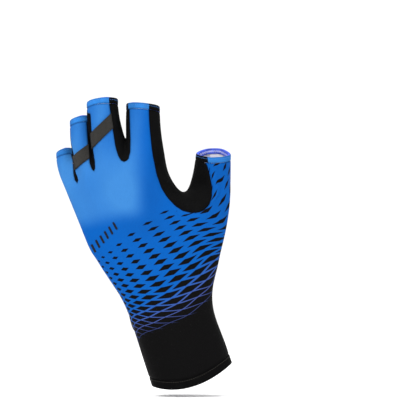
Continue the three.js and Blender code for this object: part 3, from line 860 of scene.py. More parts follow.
class Graph:
    """A material's node tree, with short calls for the nodes used here."""

    def __init__(self, name):
        self.material = bpy.data.materials.new(name)
        self.material.use_nodes = True
        self.tree = self.material.node_tree
        self.tree.nodes.clear()
        output = self.node("ShaderNodeOutputMaterial")
        self.shader = self.node("ShaderNodeBsdfPrincipled")
        self.put(output.inputs[0], self.shader.outputs[0])

    def node(self, kind, **settings):
        made = self.tree.nodes.new(kind)
        for key, value in settings.items():
            setattr(made, key, value)
        return made

    def put(self, socket, value):
        if isinstance(value, bpy.types.NodeSocket):
            self.tree.links.new(value, socket)
        elif socket.type == "RGBA":
            socket.default_value = (*value[:3], 1)
        else:
            socket.default_value = value

    def set(self, **values):
        for name, value in values.items():
            self.put(self.shader.inputs[name.replace("_", " ")], value)

    def math(self, operation, a, b=0.0):
        made = self.node("ShaderNodeMath", operation=operation)
        for socket, value in zip(made.inputs, (a, b)):
            self.put(socket, value)
        return made.outputs[0]

    def blend(self, share, a, b):
        made = self.node("ShaderNodeMix", data_type="RGBA")
        self.put(made.inputs[0], share)
        self.put(made.inputs[6], a)
        self.put(made.inputs[7], b)
        return made.outputs[2]

    def place(self, turn=0):
        """Object coordinates, turned by degrees about Y."""
        coordinates = self.node("ShaderNodeTexCoord")
        mapping = self.node("ShaderNodeMapping")
        self.put(mapping.inputs["Vector"], coordinates.outputs["Object"])
        self.put(mapping.inputs["Rotation"], (0, math.radians(turn), 0))
        return mapping.outputs[0]

    def noise(self, scale, detail, rough=0.5):
        made = self.node("ShaderNodeTexNoise")
        self.put(made.inputs["Vector"], self.place())
        self.put(made.inputs["Scale"], scale)
        self.put(made.inputs["Detail"], detail)
        self.put(made.inputs["Roughness"], rough)
        return made.outputs[0]

    def wave(self, scale, where):
        made = self.node("ShaderNodeTexWave", wave_type="BANDS", bands_direction="X")
        self.put(made.inputs["Vector"], where)
        self.put(made.inputs["Scale"], scale)
        return made.outputs[1]

    def cells(self, scale):
        made = self.node("ShaderNodeTexVoronoi")
        self.put(made.inputs["Vector"], self.place())
        self.put(made.inputs["Scale"], scale)
        return made.outputs["Color"]

    def attribute(self, name):
        return self.node("ShaderNodeAttribute", attribute_name=name).outputs["Fac"]

    def print_map(self):
        return self.node("ShaderNodeUVMap", uv_map="print").outputs[0]

    def span(self, value, low, high, to_low, to_high):
        made = self.node("ShaderNodeMapRange")
        for socket, number in zip(made.inputs, (value, low, high, to_low, to_high)):
            self.put(socket, number)
        return made.outputs[0]

    def bump(self, height, distance, under=None):
        made = self.node("ShaderNodeBump")
        self.put(made.inputs["Height"], height)
        self.put(made.inputs["Distance"], distance)
        if under is not None:
            self.put(made.inputs["Normal"], under)
        return made.outputs[0]


BLUE = (0.0010, 0.071, 0.305)
HEM_BLUE = (0.020, 0.130, 0.385)
# Blue lightened by painted highlight, and blue darkened by painted shade
PAINTED_HIGHLIGHT_BLUE = (0.031, 0.151, 0.395)
PAINTED_SHADE_BLUE = (0.0015, 0.062, 0.265)
INK = (0.0022, 0.0021, 0.0022)
LINE_VIOLET = (0.05, 0.065, 0.21)
BLACK = (0.0022, 0.0022, 0.0023)
SUEDE = (0.078, 0.079, 0.077)
PAD_SUEDE = (0.175, 0.175, 0.169)
TAPE = (0.029, 0.027, 0.024)
LINING = (0.56, 0.54, 0.60)
HEM_INSIDE = (0.06, 0.10, 0.52)


def knit(graph):
    """Fine knit: narrow wales along the hand, crossed by courses, with soft noise."""
    wales = graph.wave(420, graph.place(-22))
    courses = graph.wave(300, graph.place(68))
    fine = graph.bump(graph.math("MULTIPLY", wales, courses), 0.00012)
    return graph.bump(graph.noise(260, 3), 0.00035, under=fine)


def edge_shade(graph):
    """Painted seam shadow: darkens the last millimetre before a seam."""
    return graph.span(graph.attribute("edge"), 0.0, 1.3, 0.62, 1.0)


def scaled(graph, colour, value):
    made = graph.node("ShaderNodeVectorMath", operation="SCALE")
    graph.put(made.inputs[0], colour)
    graph.put(made.inputs["Scale"], value)
    return made.outputs[0]


def make_print():
    g = Graph("printed stretch knit")
    parts = g.node("ShaderNodeSeparateXYZ")
    g.put(parts.inputs[0], g.print_map())
    p, q = parts.outputs[0], parts.outputs[1]
    p = g.math("SUBTRACT", p, g.math("ROUND", p))
    q = g.math("SUBTRACT", q, g.math("ROUND", q))
    along = g.math("ABSOLUTE", g.math("ADD", p, q))
    across = g.math("ABSOLUTE", g.math("SUBTRACT", p, q))
    long_share = g.math("DIVIDE", along, g.attribute("spot_long"))
    wide_share = g.math("DIVIDE", across, g.attribute("spot_wide"))
    inked = g.span(g.math("ADD", long_share, wide_share), 0.93, 1.07, 1.0, 0.0)
    # Painted highlight lightens the blue here, mottled by soft noise, and painted shade darkens it.
    light = g.attribute("light")
    highlight_cloud = g.span(g.noise(16, 2), 0.35, 0.65, 0.0, 0.35)
    blue = g.blend(g.math("ADD", light, g.math("MULTIPLY", highlight_cloud, light)), BLUE, PAINTED_HIGHLIGHT_BLUE)
    blue = g.blend(g.attribute("deep"), blue, PAINTED_SHADE_BLUE)
    blue = g.blend(g.attribute("fade"), blue, LINE_VIOLET)
    colour = g.blend(inked, blue, INK)
    g.set(Base_Color=scaled(g, colour, edge_shade(g)), Roughness=0.6,
          Specular_IOR_Level=0.03, Normal=knit(g))
    return g.material


def make_cloth(name, colour):
    g = Graph(name)
    tone = g.span(g.noise(90, 3), 0.3, 0.7, 0.8, 1.2)
    tone_and_seam_shade = g.math("MULTIPLY", tone, edge_shade(g))
    g.set(Base_Color=scaled(g, colour, tone_and_seam_shade), Roughness=0.6,
          Specular_IOR_Level=0.02, Normal=knit(g))
    return g.material


def make_suede(name, colour):
    g = Graph(name)
    nap = g.noise(900, 4, rough=0.7)
    patches = g.noise(60, 3)
    tone = g.math("ADD", g.span(nap, 0.3, 0.7, 0.82, 1.12), g.span(patches, 0.3, 0.7, -0.1, 0.1))
    tone_and_seam_shade = g.math("MULTIPLY", tone, edge_shade(g))
    folds = g.bump(g.attribute("pucker"), 0.001)
    g.set(Base_Color=scaled(g, colour, tone_and_seam_shade), Roughness=0.92, Sheen_Weight=0.08,
          Sheen_Roughness=0.6, Specular_IOR_Level=0.15,
          Normal=g.bump(nap, 0.00025, under=folds))
    return g.material


def make_lining(name, colour, cell):
    g = Graph(name)
    facets = g.cells(cell)
    grey = g.node("ShaderNodeRGBToBW")
    g.put(grey.inputs[0], facets)
    tone = g.span(grey.outputs[0], 0.2, 0.8, 0.72, 1.15)
    g.set(Base_Color=scaled(g, colour, tone), Roughness=0.85, Specular_IOR_Level=0.1,
          Normal=g.bump(g.noise(500, 3), 0.0003))
    return g.material


def make_tape():
    g = Graph("ribbed woven tape")
    ribs = g.wave(1.0, g.print_map())
    threads = g.noise(1400, 3)
    tone = g.math("MULTIPLY", g.span(ribs, 0, 1, 0.6, 1.3), g.span(threads, 0.3, 0.7, 0.8, 1.2))
    tone_and_seam_shade = g.math("MULTIPLY", tone, edge_shade(g))
    g.set(Base_Color=scaled(g, TAPE, tone_and_seam_shade), Roughness=0.8, Sheen_Weight=0.03,
          Specular_IOR_Level=0.12, Normal=g.bump(ribs, 0.0004, under=g.bump(threads, 0.0002)))
    return g.material


def make_plain(name, colour, rough, bump=0.0002, specular=0.3):
    g = Graph(name)
    grain = g.noise(700, 3)
    g.set(Base_Color=scaled(g, colour, g.span(grain, 0.3, 0.7, 0.85, 1.15)), Roughness=rough,
          Specular_IOR_Level=specular, Normal=g.bump(grain, bump))
    return g.material


PRINT = make_print()
BLACK_KNIT = make_cloth("black stretch knit", BLACK)
HEM_KNIT = make_cloth("blue hem knit", HEM_BLUE)
PALM_SUEDE = make_suede("grey suede", SUEDE)
GRIP_SUEDE = make_suede("padded suede", PAD_SUEDE)
LINING_KNIT = make_lining("pale lining", LINING, 260)
HEM_LINING = make_lining("violet hem lining", HEM_INSIDE, 420)
WOVEN_TAPE = make_tape()
THREAD_BLACK = make_plain("black thread", (0.035, 0.031, 0.024), 0.7)
THREAD_BLUE = make_plain("blue thread", (0.045, 0.155, 0.42), 0.7)
THREAD_GREY = make_plain("grey thread", (0.05, 0.05, 0.052), 0.7)
THREAD_PALE = make_plain("pale thread", (0.55, 0.55, 0.72), 0.7)
SILICONE = make_plain("matte silicone", (0.006, 0.006, 0.006), 0.45, 0.0001, 0.25)
PRINT_INK = make_plain("black print", INK, 0.6, 0.0001, 0.14)
# Near black: painted shade for the inside of the palm's holes
HOLE_PAINTED_SHADE = make_plain("perforation_painted_shade", (0.004, 0.004, 0.004), 0.9)


# The print: columns of diamonds, each from its first place down to the right, in millimetres
PRINT_COLUMNS = table(
    ["column", "x", "z", "stepX", "stepZ"],
    [
        [-3, -88.7, 86.0, 3.3, -4.6],
        [-2, -85.6, 90.0, 3.3, -4.6],
        [-1, -81.9, 92.8, 3.3, -4.6],
        [0, -78.0, 95.3, 3.4, -4.6],
        [1, -73.7, 98.7, 3.65, -4.68],
        [2, -67.5, 102.8, 3.94, -4.63],
        [3, -60.4, 109.1, 4.56, -4.63],
        [4, -50.2, 117.5, 4.8, -4.47],
        [5, -36.8, 126.8, 4.62, -4.47],
        [6, -22.7, 136.0, 4.4, -4.2],
        [7, -14.3, 142.1, 5.05, -4.1],
        [8, -5.5, 149.9, 6.0, -4.3],
        [9, 2.7, 162.1, 5.7, -4.0],
        [10, 7.6, 173.3, 5.4, -3.5],
        [11, 10.1, 183.7, 5.7, -3.4],
        [12, 11.5, 194.4, 5.7, -3.3],
        [13, 12.5, 205.4, 5.7, -3.2],
    ],
)
# How far a diamond fills its cell, by the steps below the print's upper edge
PRINT_FILL = table(
    ["step", "long", "wide"],
    [
        [-0.7, 0.001, 0.001],
        [-0.4, 0.24, 0.4],
        [1, 0.29, 0.5],
        [3, 0.34, 0.62],
        [5, 0.41, 0.7],
        [7, 0.52, 0.76],
        [9, 0.68, 0.82],
        [11, 0.86, 0.9],
        [12.5, 0.97, 0.96],
        [13.6, 1.2, 1.2],
    ],
)


def column_values(n):
    """Start and step of the print's columns at any, also broken, column number."""
    knots = np.array([list(row.values()) for row in PRINT_COLUMNS], float)
    n = np.clip(n, knots[0, 0], knots[-1, 0] - 1e-6)
    k = np.floor(n - knots[0, 0]).astype(int)
    t = (n - knots[0, 0] - k)[:, None]
    last = len(knots) - 1
    a, b = knots[np.maximum(k - 1, 0), 1:], knots[k, 1:]
    c, d = knots[np.minimum(k + 1, last), 1:], knots[np.minimum(k + 2, last), 1:]
    return b + 0.5 * t * (c - a + t * (2 * a - 5 * b + 4 * c - d + t * (3 * (b - c) + d - a)))


def print_place(n, m):
    v = column_values(n)
    return v[:, :2] + m[:, None] * v[:, 2:]


def print_steps(x, z):
    """Column and step of the print at places on the developed back."""
    grid_n, grid_m = [g.ravel() for g in np.meshgrid(np.arange(-3, 13, 0.25), np.arange(-4, 34, 0.5))]
    places = print_place(grid_n, grid_m)
    tree = tree_over(np.column_stack([places, np.zeros(len(places))]), range(len(places)))
    near = np.array([tree.find((a, b, 0))[1] for a, b in zip(x, z)])
    n, m = grid_n[near].copy(), grid_m[near].copy()
    target = np.column_stack([x, z])
    for _ in range(6):
        here = print_place(n, m)
        dn = (print_place(n + 0.01, m) - here) / 0.01
        dm = column_values(n)[:, 2:]
        det = dn[:, 0] * dm[:, 1] - dn[:, 1] * dm[:, 0]
        det = np.where(np.abs(det) < 1, np.copysign(1, det), det)
        off = target - here
        n += np.clip((off[:, 0] * dm[:, 1] - off[:, 1] * dm[:, 0]) / det, -1, 1)
        m += np.clip((dn[:, 0] * off[:, 1] - dn[:, 1] * off[:, 0]) / det, -1, 1)
    return n, m


# Pieces


def none(points):
    return np.zeros(len(points))


def flat(value):
    return lambda points: np.full(len(points), float(value))


def no_channels(points, across):
    return {}


def add_object(name, mesh):
    """Joins a mesh to the scene as a piece of the glove, which is one body."""
    mesh.polygons.foreach_set("use_smooth", [True] * len(mesh.polygons))
    made = bpy.data.objects.new(name, mesh)
    bpy.context.scene.collection.objects.link(made)
    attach(made, "root")
    return made


def inward_ways(p, n, tris):
    """Unit ways along the surface, from each point into the patch."""
    middle = p[tris].mean(1)
    pull = np.zeros_like(p)
    for i in range(3):
        way = middle - p[tris[:, i]]
        np.add.at(pull, tris[:, i], way / np.linalg.norm(way, axis=1)[:, None])
    pull -= (pull * n).sum(1)[:, None] * n
    length = np.linalg.norm(pull, axis=1)
    return pull / np.where(length > 0, length, 1)[:, None]


def rim_walls(rim, z, count):
    """Two triangles over each rim edge, split from its upper outer corner."""
    walls = []
    for a, b in rim:
        if z[a] > z[b]:
            walls += [(b, a, a + count), (b, a + count, b + count)]
        else:
            walls += [(b, a, b + count), (a, a + count, b + count)]
    return np.array(walls)


def give_looks(mesh, looks, labels, wall_count):
    """Materials of the outer side, the inner side and the walls, in the order of the faces."""
    outer, inner, side = looks if isinstance(looks, tuple) else (looks,) * 3
    by_side = outer if isinstance(outer, dict) else dict.fromkeys(SIDE, outer)
    materials = []
    for material in (*by_side.values(), inner, side):
        if material not in materials:
            materials.append(material)
            mesh.materials.append(material)
    ids = [materials.index(by_side[SIDE[label]]) for label in labels[:, 2]]
    ids += [materials.index(inner)] * len(labels) + [materials.index(side)] * wall_count
    mesh.polygons.foreach_set("material_index", ids)


def give_values(mesh, values, uv):
    """Numbers that the materials read, the same on both sides, and the map of the print."""
    for key, value in values.items():
        layer = mesh.attributes.new(key, "FLOAT", "POINT")
        layer.data.foreach_set("value", np.tile(value, 2).astype(np.float32))
    layer = mesh.uv_layers.new(name="print")
    corner = np.zeros(len(mesh.loops), int)
    mesh.loops.foreach_get("vertex_index", corner)
    layer.data.foreach_set("uv", np.vstack([uv, uv])[corner].astype(np.float32).ravel())


def shell(name, patch, lift, wall, looks, groove=0.45, groove_width=1.6, gap=SEAM_GAP,
          channels=no_channels, soft=none):
    """A closed piece over a patch. looks gives its outer, inner and rim material, or one for all.

    The outer side is lifted off the patch, and the inner side lies wall below it. Near the rim
    the outer side drops by groove. soft adds a height away from the rim.
    """
    used = np.unique(patch.triangles)
    index = np.full(len(patch.points), -1)
    index[used] = np.arange(len(used))
    tris = index[patch.triangles]
    p, n = patch.points[used], patch.normals[used]
    rim = rim_loops(tris)
    on_rim = np.zeros(len(p), bool)
    on_rim[[a for a, _ in rim]] = True
    tree = tree_over(p, np.nonzero(on_rim)[0])
    edge = np.array([tree.find(v)[2] for v in p])
    base = p + np.where(on_rim, gap / 2, 0)[:, None] * inward_ways(p, n, tris)
    height = lift(p) + soft(p) * smooth((edge - SOFT_FROM) / SOFT_SPAN)
    depth = np.where(on_rim, np.minimum(wall(p), SEAM_WALL), wall(p))
    drop = groove * np.clip(1 - edge / groove_width, 0, 1) ** 2
    top = base + n * (height - drop)[:, None]
    bottom = base + n * (height - depth)[:, None]
    walls = rim_walls(rim, p[:, 2], len(p))
    everything = np.vstack([tris, tris[:, ::-1] + len(p), walls])
    mesh = bpy.data.meshes.new(name)
    mesh.from_pydata((np.vstack([top, bottom]) * MM).tolist(), [], everything.tolist())
    give_looks(mesh, looks, patch.labels, len(walls))
    values = {"edge": np.minimum(edge, EDGE_REACH), **channels(p, patch.extra[used, 0])}
    uv = values.pop("print", front_view(p) * MM)
    give_values(mesh, values, uv)
    made = add_object(name, mesh)
    mesh.set_sharp_from_angle(angle=SHARP_ANGLE)
    return made


def soft_spot(x, z, half_x, half_z):
    """One in the middle, fading out over the half sizes."""
    return np.exp(-((x / half_x) ** 2 + (z / half_z) ** 2))


def folds(points):
    """Soft folds in the worn cloth: across the wrist, by the thumb's root and low on the cuff."""
    x, z = points[:, 0], points[:, 2]
    tilt = math.radians(20)
    along = x * math.sin(tilt) + z * math.cos(tilt)
    across = x * math.cos(tilt) - z * math.sin(tilt)
    wrist = np.exp(-((z - 66) / 26) ** 2)
    wave = np.sin(along / 3.6 + 0.9 * np.sin(across / 11 + 1.2))
    thumb = soft_spot(x - 12, z - 140, 12, 12)
    ray = np.sin((x - 0.7 * z) / 2.9)
    slack = np.sin(across / 9 + np.sin(along / 15)) * np.exp(-((z - 20) / 30) ** 2)
    return 0.28 * wrist * wave + 0.22 * thumb * ray + 0.22 * slack


# Soft spots of painted highlight and of painted shade on the blue: kind, centre, half sizes, lean and
# strength, millimetres
PAINTED_LIGHT_SPOTS = table(
    ["tone", "x", "z", "halfX", "halfZ", "lean", "strength"],
    [
        ["light", -54, 152, 16, 15, 0, 0.4],
        ["light", -76, 215, 6, 24, 0.12, 0.3],
        ["light", -46, 205, 5, 24, 0.12, 0.16],
        ["light", -97, 195, 5, 24, 0.12, 0.35],
        ["light", -106, 172, 5, 24, 0.12, 0.3],
        ["deep", -33, 150, 9, 26, 0, 0.9],
        ["deep", -42, 124, 22, 8, 0, 0.6],
    ],
)
PLAIN_Z = 152  # above it, and left of PLAIN_X, the cloth has no diamonds
PLAIN_X = -12
NO_STEP = -5  # a step above the first of PRINT_FILL
CLEAR_X = -2  # left of it the diamonds keep CLEAR_MARGIN off the thumb band
CLEAR_MARGIN = 1.5
THINNEST = 0.03


# Sums the painted highlight spots, or the painted shade spots, of one kind.
def painted_light_spots(tone, x, z):
    total = 0
    for row in PAINTED_LIGHT_SPOTS:
        if row["tone"] == tone:
            along = z - row["z"]
            aside = x - row["x"] - row["lean"] * along
            total += row["strength"] * soft_spot(aside, along, row["halfX"], row["halfZ"])
    return total


def fill_at(key, steps):
    return np.interp(steps, [row["step"] for row in PRINT_FILL], [row[key] for row in PRINT_FILL])


def print_channels(points, across):
    """The place in the print, how large and faded its diamonds are, and the painted highlight and
    painted shade on the blue.
    """
    x, z = points[:, 0], points[:, 2]
    n, m = print_steps(across, z)
    step = np.where((z > PLAIN_Z) & (x < PLAIN_X), NO_STEP, m)
    off_band = outline_field(FRONT_OUTLINES["thumb_band"])(points) - CLEAR_MARGIN
    clear = np.where(x < CLEAR_X, smooth(off_band / 2), 1)
    slim = smooth((n - 4) / 3) * smooth((10.5 - m) / 4)
    narrow = smooth((n - 7.5) / 1.5) * smooth((10 - m) / 3)
    # Painted highlight over the knuckles and fingers, and painted shade on the thumb's side and along
    # the highlight's edges.
    knuckles = smooth((z - 126 - 0.22 * np.minimum(x + 55, 0)) / 16) * smooth((-33 - x) / 22)
    light = 0.66 * knuckles * (1 - 0.6 * smooth((z - 172) / 30)) + painted_light_spots("light", x, z)
    painted_shade_thumb_side = smooth((x - 6) / 14) * smooth((z - 100) / 40)
    deep = 0.6 * painted_shade_thumb_side + painted_light_spots("deep", x, z)
    return {
        "print": np.column_stack([n - m, m]),
        "spot_long": fill_at("long", step) * mix(THINNEST, 1 + 0.3 * slim, clear),
        "spot_wide": fill_at("wide", step) * mix(THINNEST, 1 - 0.2 * slim, clear) * mix(1, 0.75, narrow),
        "fade": smooth((step - 8) / 4) * (0.35 + 0.5 * smooth((x + 78) / 20)),
        "light": np.clip(light, 0, 1),
        "deep": np.clip(deep, 0, 1),
    }


def under_channels(points, across):
    """All inked, but for thin lines by the wrist on the thumb's side."""
    x, z = points[:, 0], points[:, 2]
    near = smooth((x - 2) / 6) * smooth((z - 52) / 12) * smooth((108 - z) / 10)
    spot = mix(1.3, 0.99, near)
    return {**print_channels(points, across), "spot_long": spot, "spot_wide": spot,
            "fade": np.ones(len(points))}


def palm_channels(points, across):
    """Puckers where the strap narrows out of the palm, and a crease between the two upper pads."""
    x, z = points[:, 0], points[:, 2]
    neck = soft_spot(x + 36, z - 50, 14, 16)
    pucker = neck * np.sin(x * 0.9 + 1.3 * np.sin(z / 5)) * 0.6
    crease = soft_spot(x + 68, z - 118 - 0.25 * (x + 60), 16, 1.6)
    return {"pucker": pucker - 1.2 * crease}


cloth = skin.band("cloth")

back_cloth = largest_part(without_regions(front_cloth(skin)))
back_panel = shell("printed_back", back_cloth, none, flat(STRETCH_WALL),
                   (PRINT, LINING_KNIT, BLACK_KNIT), channels=print_channels,
                   soft=folds)
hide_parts("back_panel")

palm_side = skin.side("palm") & ~skin.band("guide") & (cloth | skin.where("trunk", "hand"))
palm_patch = trim(skin.keep(palm_side), palm_field)
palm_panel = shell("suede_palm", palm_patch, strap_lift, flat(SUEDE_WALL),
                   (PALM_SUEDE, LINING_KNIT, PALM_SUEDE), channels=palm_channels)
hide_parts("palm_panel")

under = skin.keep(skin.where("trunk") & skin.side("palm") & cloth)
under = trim(under, lambda points: -suede_field(points))
cuff_under = shell("cuff_underside_knit", under, none, flat(STRETCH_WALL),
                   (PRINT, LINING_KNIT, BLACK_KNIT), channels=under_channels,
                   soft=folds)
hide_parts("cuff_underside")

trunk_hem = fine_skin.keep(fine_skin.where("trunk") & fine_skin.band("hem"))
cuff_hem = shell("turned_cuff_hem", trunk_hem, none, flat(HEM_WALL),
                 BLACK_KNIT, groove=0.4, groove_width=1.0)
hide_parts("cuff_hem")

thumb_band = shell("crotch_band", region(skin, "thumb_band"), none, flat(GUSSET_WALL),
                   (BLACK_KNIT, LINING_KNIT, BLACK_KNIT))
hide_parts("index_thumb_band")

for number, pair in enumerate(("ring_pinky", "middle_ring", "index_middle")):
    made = shell(f"side_wall_{pair}", region(skin, f"gap_{number + 1}"), none, flat(GUSSET_WALL),
                 (BLACK_KNIT, LINING_KNIT, BLACK_KNIT))
    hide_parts(f"gusset_{pair}")

blue_sides = {"pinky": ["back", "gap_1"], "ring": ["back", "gap_1", "gap_2"]}
hem_patches = {}
for where in ("thumb", "pinky", "ring", "middle", "index"):
    hem_patches[where] = fine_skin.keep(fine_skin.where(where) & fine_skin.band("hem"))
    outer = {side: BLACK_KNIT for side in SIDE}
    outer |= dict.fromkeys(blue_sides.get(where, ["back"]), HEM_KNIT)
    outer["palm"] = PALM_SUEDE
    made = shell(f"turned_hem_{where}", hem_patches[where], none, flat(HEM_WALL),
                 (outer, HEM_LINING, HEM_LINING), groove=0.3, groove_width=0.8)
    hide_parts(f"hem_{where}")

palm_fine = fine_skin.keep(fine_skin.side("palm") & fine_skin.band("cloth"))
pad_patches = {}
pad_fields = {}
for name, outline in PADS.items():
    curve = curved([{"x": x, "z": z} for x, z in outline], True)
    field = outline_field(curve)
    patch = trim(palm_fine.keep(palm_fine.where("hand", "trunk", "thumb")), field)

    def height(points, field=field):
        return mix(PAD_LIP, PAD_HEIGHT, smooth(-field(points) / PAD_EDGE))

    pad_patches[name], pad_fields[name] = patch, (field, height)
    pad = shell(f"padded_{name}", patch, lambda points: LAID_GAP + height(points), height,
                GRIP_SUEDE, groove=0.0, gap=0)
    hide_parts(name)

RIB_SCALE = 0.9
ribbon_depths = {"ring": 14, "middle": 0}  # the y to which a ribbon goes round its finger
for row in RIBBONS:
    depth = ribbon_depths[row["finger"]]
    start, end = [placed({"x": row[f"x{i}"], "z": row[f"z{i}"]})[[0, 2]] for i in (0, 1)]
    line = np.array([2 * start - end, 2 * end - start])
    finger = front_cloth(fine_skin)
    before = finger.points[finger.triangles][:, :, 1].max(1) < depth
    finger = finger.keep(finger.where(row["finger"]) & before)
    strip = without_regions(trim(finger, strip_field(line, RIBBON_WIDTH, 0)))
    strip = trim(strip, lambda points: points[:, 1] - depth)
    way = unit(end - start)
    ribs = np.column_stack([RIB_SCALE * way, (-way[1], way[0])])

    def tape_channels(points, across):
        return {"print": front_view(points) @ ribs}

    made = shell(f"woven_ribbon_{row['finger']}", strip, flat(LAID_GAP + RIBBON_WALL),
                 flat(RIBBON_WALL), WOVEN_TAPE, groove=0.25, groove_width=0.8, gap=0,
                 channels=tape_channels)
    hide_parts(f"pull_ribbon_{row['finger']}")


# Silicone print on the pads


SHAPE_REACH = 3
SHAPE_FAR = 4.0


def convex_field(shapes):
    """Signed distance from many convex shapes, each a list of corners in x and z."""
    sets = []
    for corners in shapes:
        a = np.array(corners, float)
        b = np.roll(a, -1, 0)
        area = ((a[:, 0] * b[:, 1]) - (a[:, 1] * b[:, 0])).sum()
        if area < 0:
            a = a[::-1]
        way = np.roll(a, -1, 0) - a
        out = np.column_stack([way[:, 1], -way[:, 0]]) / np.linalg.norm(way, axis=1)[:, None]
        sets.append((a.mean(0), np.linalg.norm(a - a.mean(0), axis=1).max(), a, out))

    def field(points):
        p = front_view(points)
        best = np.full(len(p), SHAPE_FAR)
        for centre, reach, a, out in sets:
            near = np.nonzero(((p - centre) ** 2).sum(1) < (reach + SHAPE_REACH) ** 2)[0]
            rel = p[near][:, None] - a[None]
            best[near] = np.minimum(best[near], (rel * out).sum(2).max(1))
        return best

    return field


def inset(corners, amount):
    a = np.array(corners, float)
    centre = a.mean(0)
    reach = np.linalg.norm(a - centre, axis=1)
    return centre + (a - centre) * (1 - amount / reach)[:, None]


def cell_shape(corner, kind, gap):
    """The print in one four-cornered cell: corner(u, v) places it, kind says which half is full."""
    halves = {
        "upper_left": [(0, 0), (1, 1), (0, 1)],
        "lower_right": [(0, 0), (1, 0), (1, 1)],
        "upper_right": [(1, 0), (1, 1), (0, 1)],
        "lower_left": [(0, 0), (1, 0), (0, 1)],
        "full": [(0, 0), (1, 0), (1, 1), (0, 1)],
    }
    return inset([corner(u, v) for u, v in halves[kind]], gap)


def thumb_pad_shapes():
    """Even rows of half-filled squares above, and rows of hanging triangles below."""
    shapes = []
    pitch, base, gap = 5.9, 6.6, 0.3
    for i in range(-1, 10):
        for k in range(0, 9):
            x, z = -52 + i * pitch, 103 + k * pitch - 0.1 * i

            def corner(u, v):
                return np.array([x + u * pitch, z + v * pitch - 0.06 * (x + u * pitch + 30)])

            shapes.append(cell_shape(corner, "upper_left", gap))
    lean = -0.14
    for i in range(-2, 9):
        for k in range(1, 7):
            x, z = -56 + (i + 0.5 * (k % 2)) * base, 103 - k * pitch
            hanging = [(x, z + pitch), (x + base, z + pitch), (x + base / 2, z)]
            shapes.append(inset([(a, b + lean * (a + 30)) for a, b in hanging], gap))
    return shapes


def mixed_shapes(x0, z0, slope, widths, rows, seed):
    """Columns of cells, each as high as it is wide, filled by halves or whole in mixed order."""
    random = np.random.RandomState(seed)
    kinds = ["upper_left", "lower_right", "upper_right", "lower_left", "full"]
    shares = [0.34, 0.2, 0.14, 0.1, 0.22]
    shapes = []
    x = x0
    for width in widths:
        for k in range(-rows, rows):
            def corner(u, v):
                px = x + u * width
                return np.array([px, z0 + slope * (px - x0) + (k + v) * width])

            shapes.append(cell_shape(corner, kinds[random.choice(5, p=shares)], 0.25))
        x += width
    return shapes


PRINT_HEIGHT = 0.45
PRINT_ROOT = 0.1  # how deep the print goes into its pad
PRINT_INSET = 1.2
OVAL = {"x": -0.511, "z": 0.67, "half_x": 13.0, "half_z": 9.0, "turn": 14}
OVAL_MARGIN = 0.5
STRIPE_MARGIN = 0.4
STRIPE_LEAN = math.radians(-24)
STRIPE_PITCH = 2.0
STRIPE_HALF = 0.58


def oval_field(points):
    centre = placed(OVAL)[[0, 2]]
    turn = math.radians(OVAL["turn"])
    p = points[:, [0, 2]] - centre
    u = (p[:, 0] * math.cos(turn) + p[:, 1] * math.sin(turn)) / OVAL["half_x"]
    v = (-p[:, 0] * math.sin(turn) + p[:, 1] * math.cos(turn)) / OVAL["half_z"]
    return (np.hypot(u, v) - 1) * OVAL["half_z"]


def stripes_field(points):
    across = points[:, 2] * math.cos(STRIPE_LEAN) - points[:, 0] * math.sin(STRIPE_LEAN)
    off_line = np.abs((across / STRIPE_PITCH) % 1 - 0.5) * STRIPE_PITCH
    return np.maximum(oval_field(points) + STRIPE_MARGIN, off_line - STRIPE_HALF)


UPPER_CELLS = [3.3, 3.5, 3.8, 4.2, 4.8, 5.6, 6.2, 6.4, 6.4, 6.4, 6.2, 6.0, 5.8]
HEEL_CELLS = [4.4, 4.8, 5.2, 5.6, 5.8, 6.0, 6.0, 6.0]
upper_cells = convex_field(mixed_shapes(-94, 139.5, 0.46, UPPER_CELLS, 5, 4))


def upper_print(points):
    """Mixed cells, but for an oval with stripes."""
    cells = np.maximum(upper_cells(points), OVAL_MARGIN - oval_field(points))
    return np.minimum(cells, stripes_field(points))


grip_prints = {
    "grip_pad_upper": upper_print,
    "grip_pad_heel": convex_field(mixed_shapes(-82, 98, -0.35, HEEL_CELLS, 6, 11)),
    "grip_pad_thumb": convex_field(thumb_pad_shapes()),
}
for name, drawn in grip_prints.items():
    field, height = pad_fields[name]
    patch = trim(pad_patches[name], lambda p: np.maximum(drawn(p), field(p) + PRINT_INSET),
                 whole_part=False)
    shell(f"silicone_{name}", patch, lambda p: LAID_GAP + height(p) + PRINT_HEIGHT,
          flat(PRINT_HEIGHT + PRINT_ROOT), SILICONE, groove=0.12, groove_width=0.6, gap=0)


# Stitches


def edge_distance(patch, upper=None):
    """Distance from the patch's own rim, or from its upper or lower rim alone."""
    rim = rim_loops(patch.triangles)
    onward = dict(rim)
    loops, left = [], set(onward)
    while left:
        start = left.pop()
        loop, at = [start], onward[start]
        while at != start and at in left:
            left.discard(at)
            loop.append(at)
            at = onward[at]
        loops.append(loop)
    if upper is not None:
        loops.sort(key=lambda loop: patch.points[loop][:, 2].mean())
        loops = [loops[-1] if upper else loops[0]]
    tree = tree_over(patch.points, [i for loop in loops for i in loop])
    return lambda points: np.array([tree.find(v)[2] for v in points])


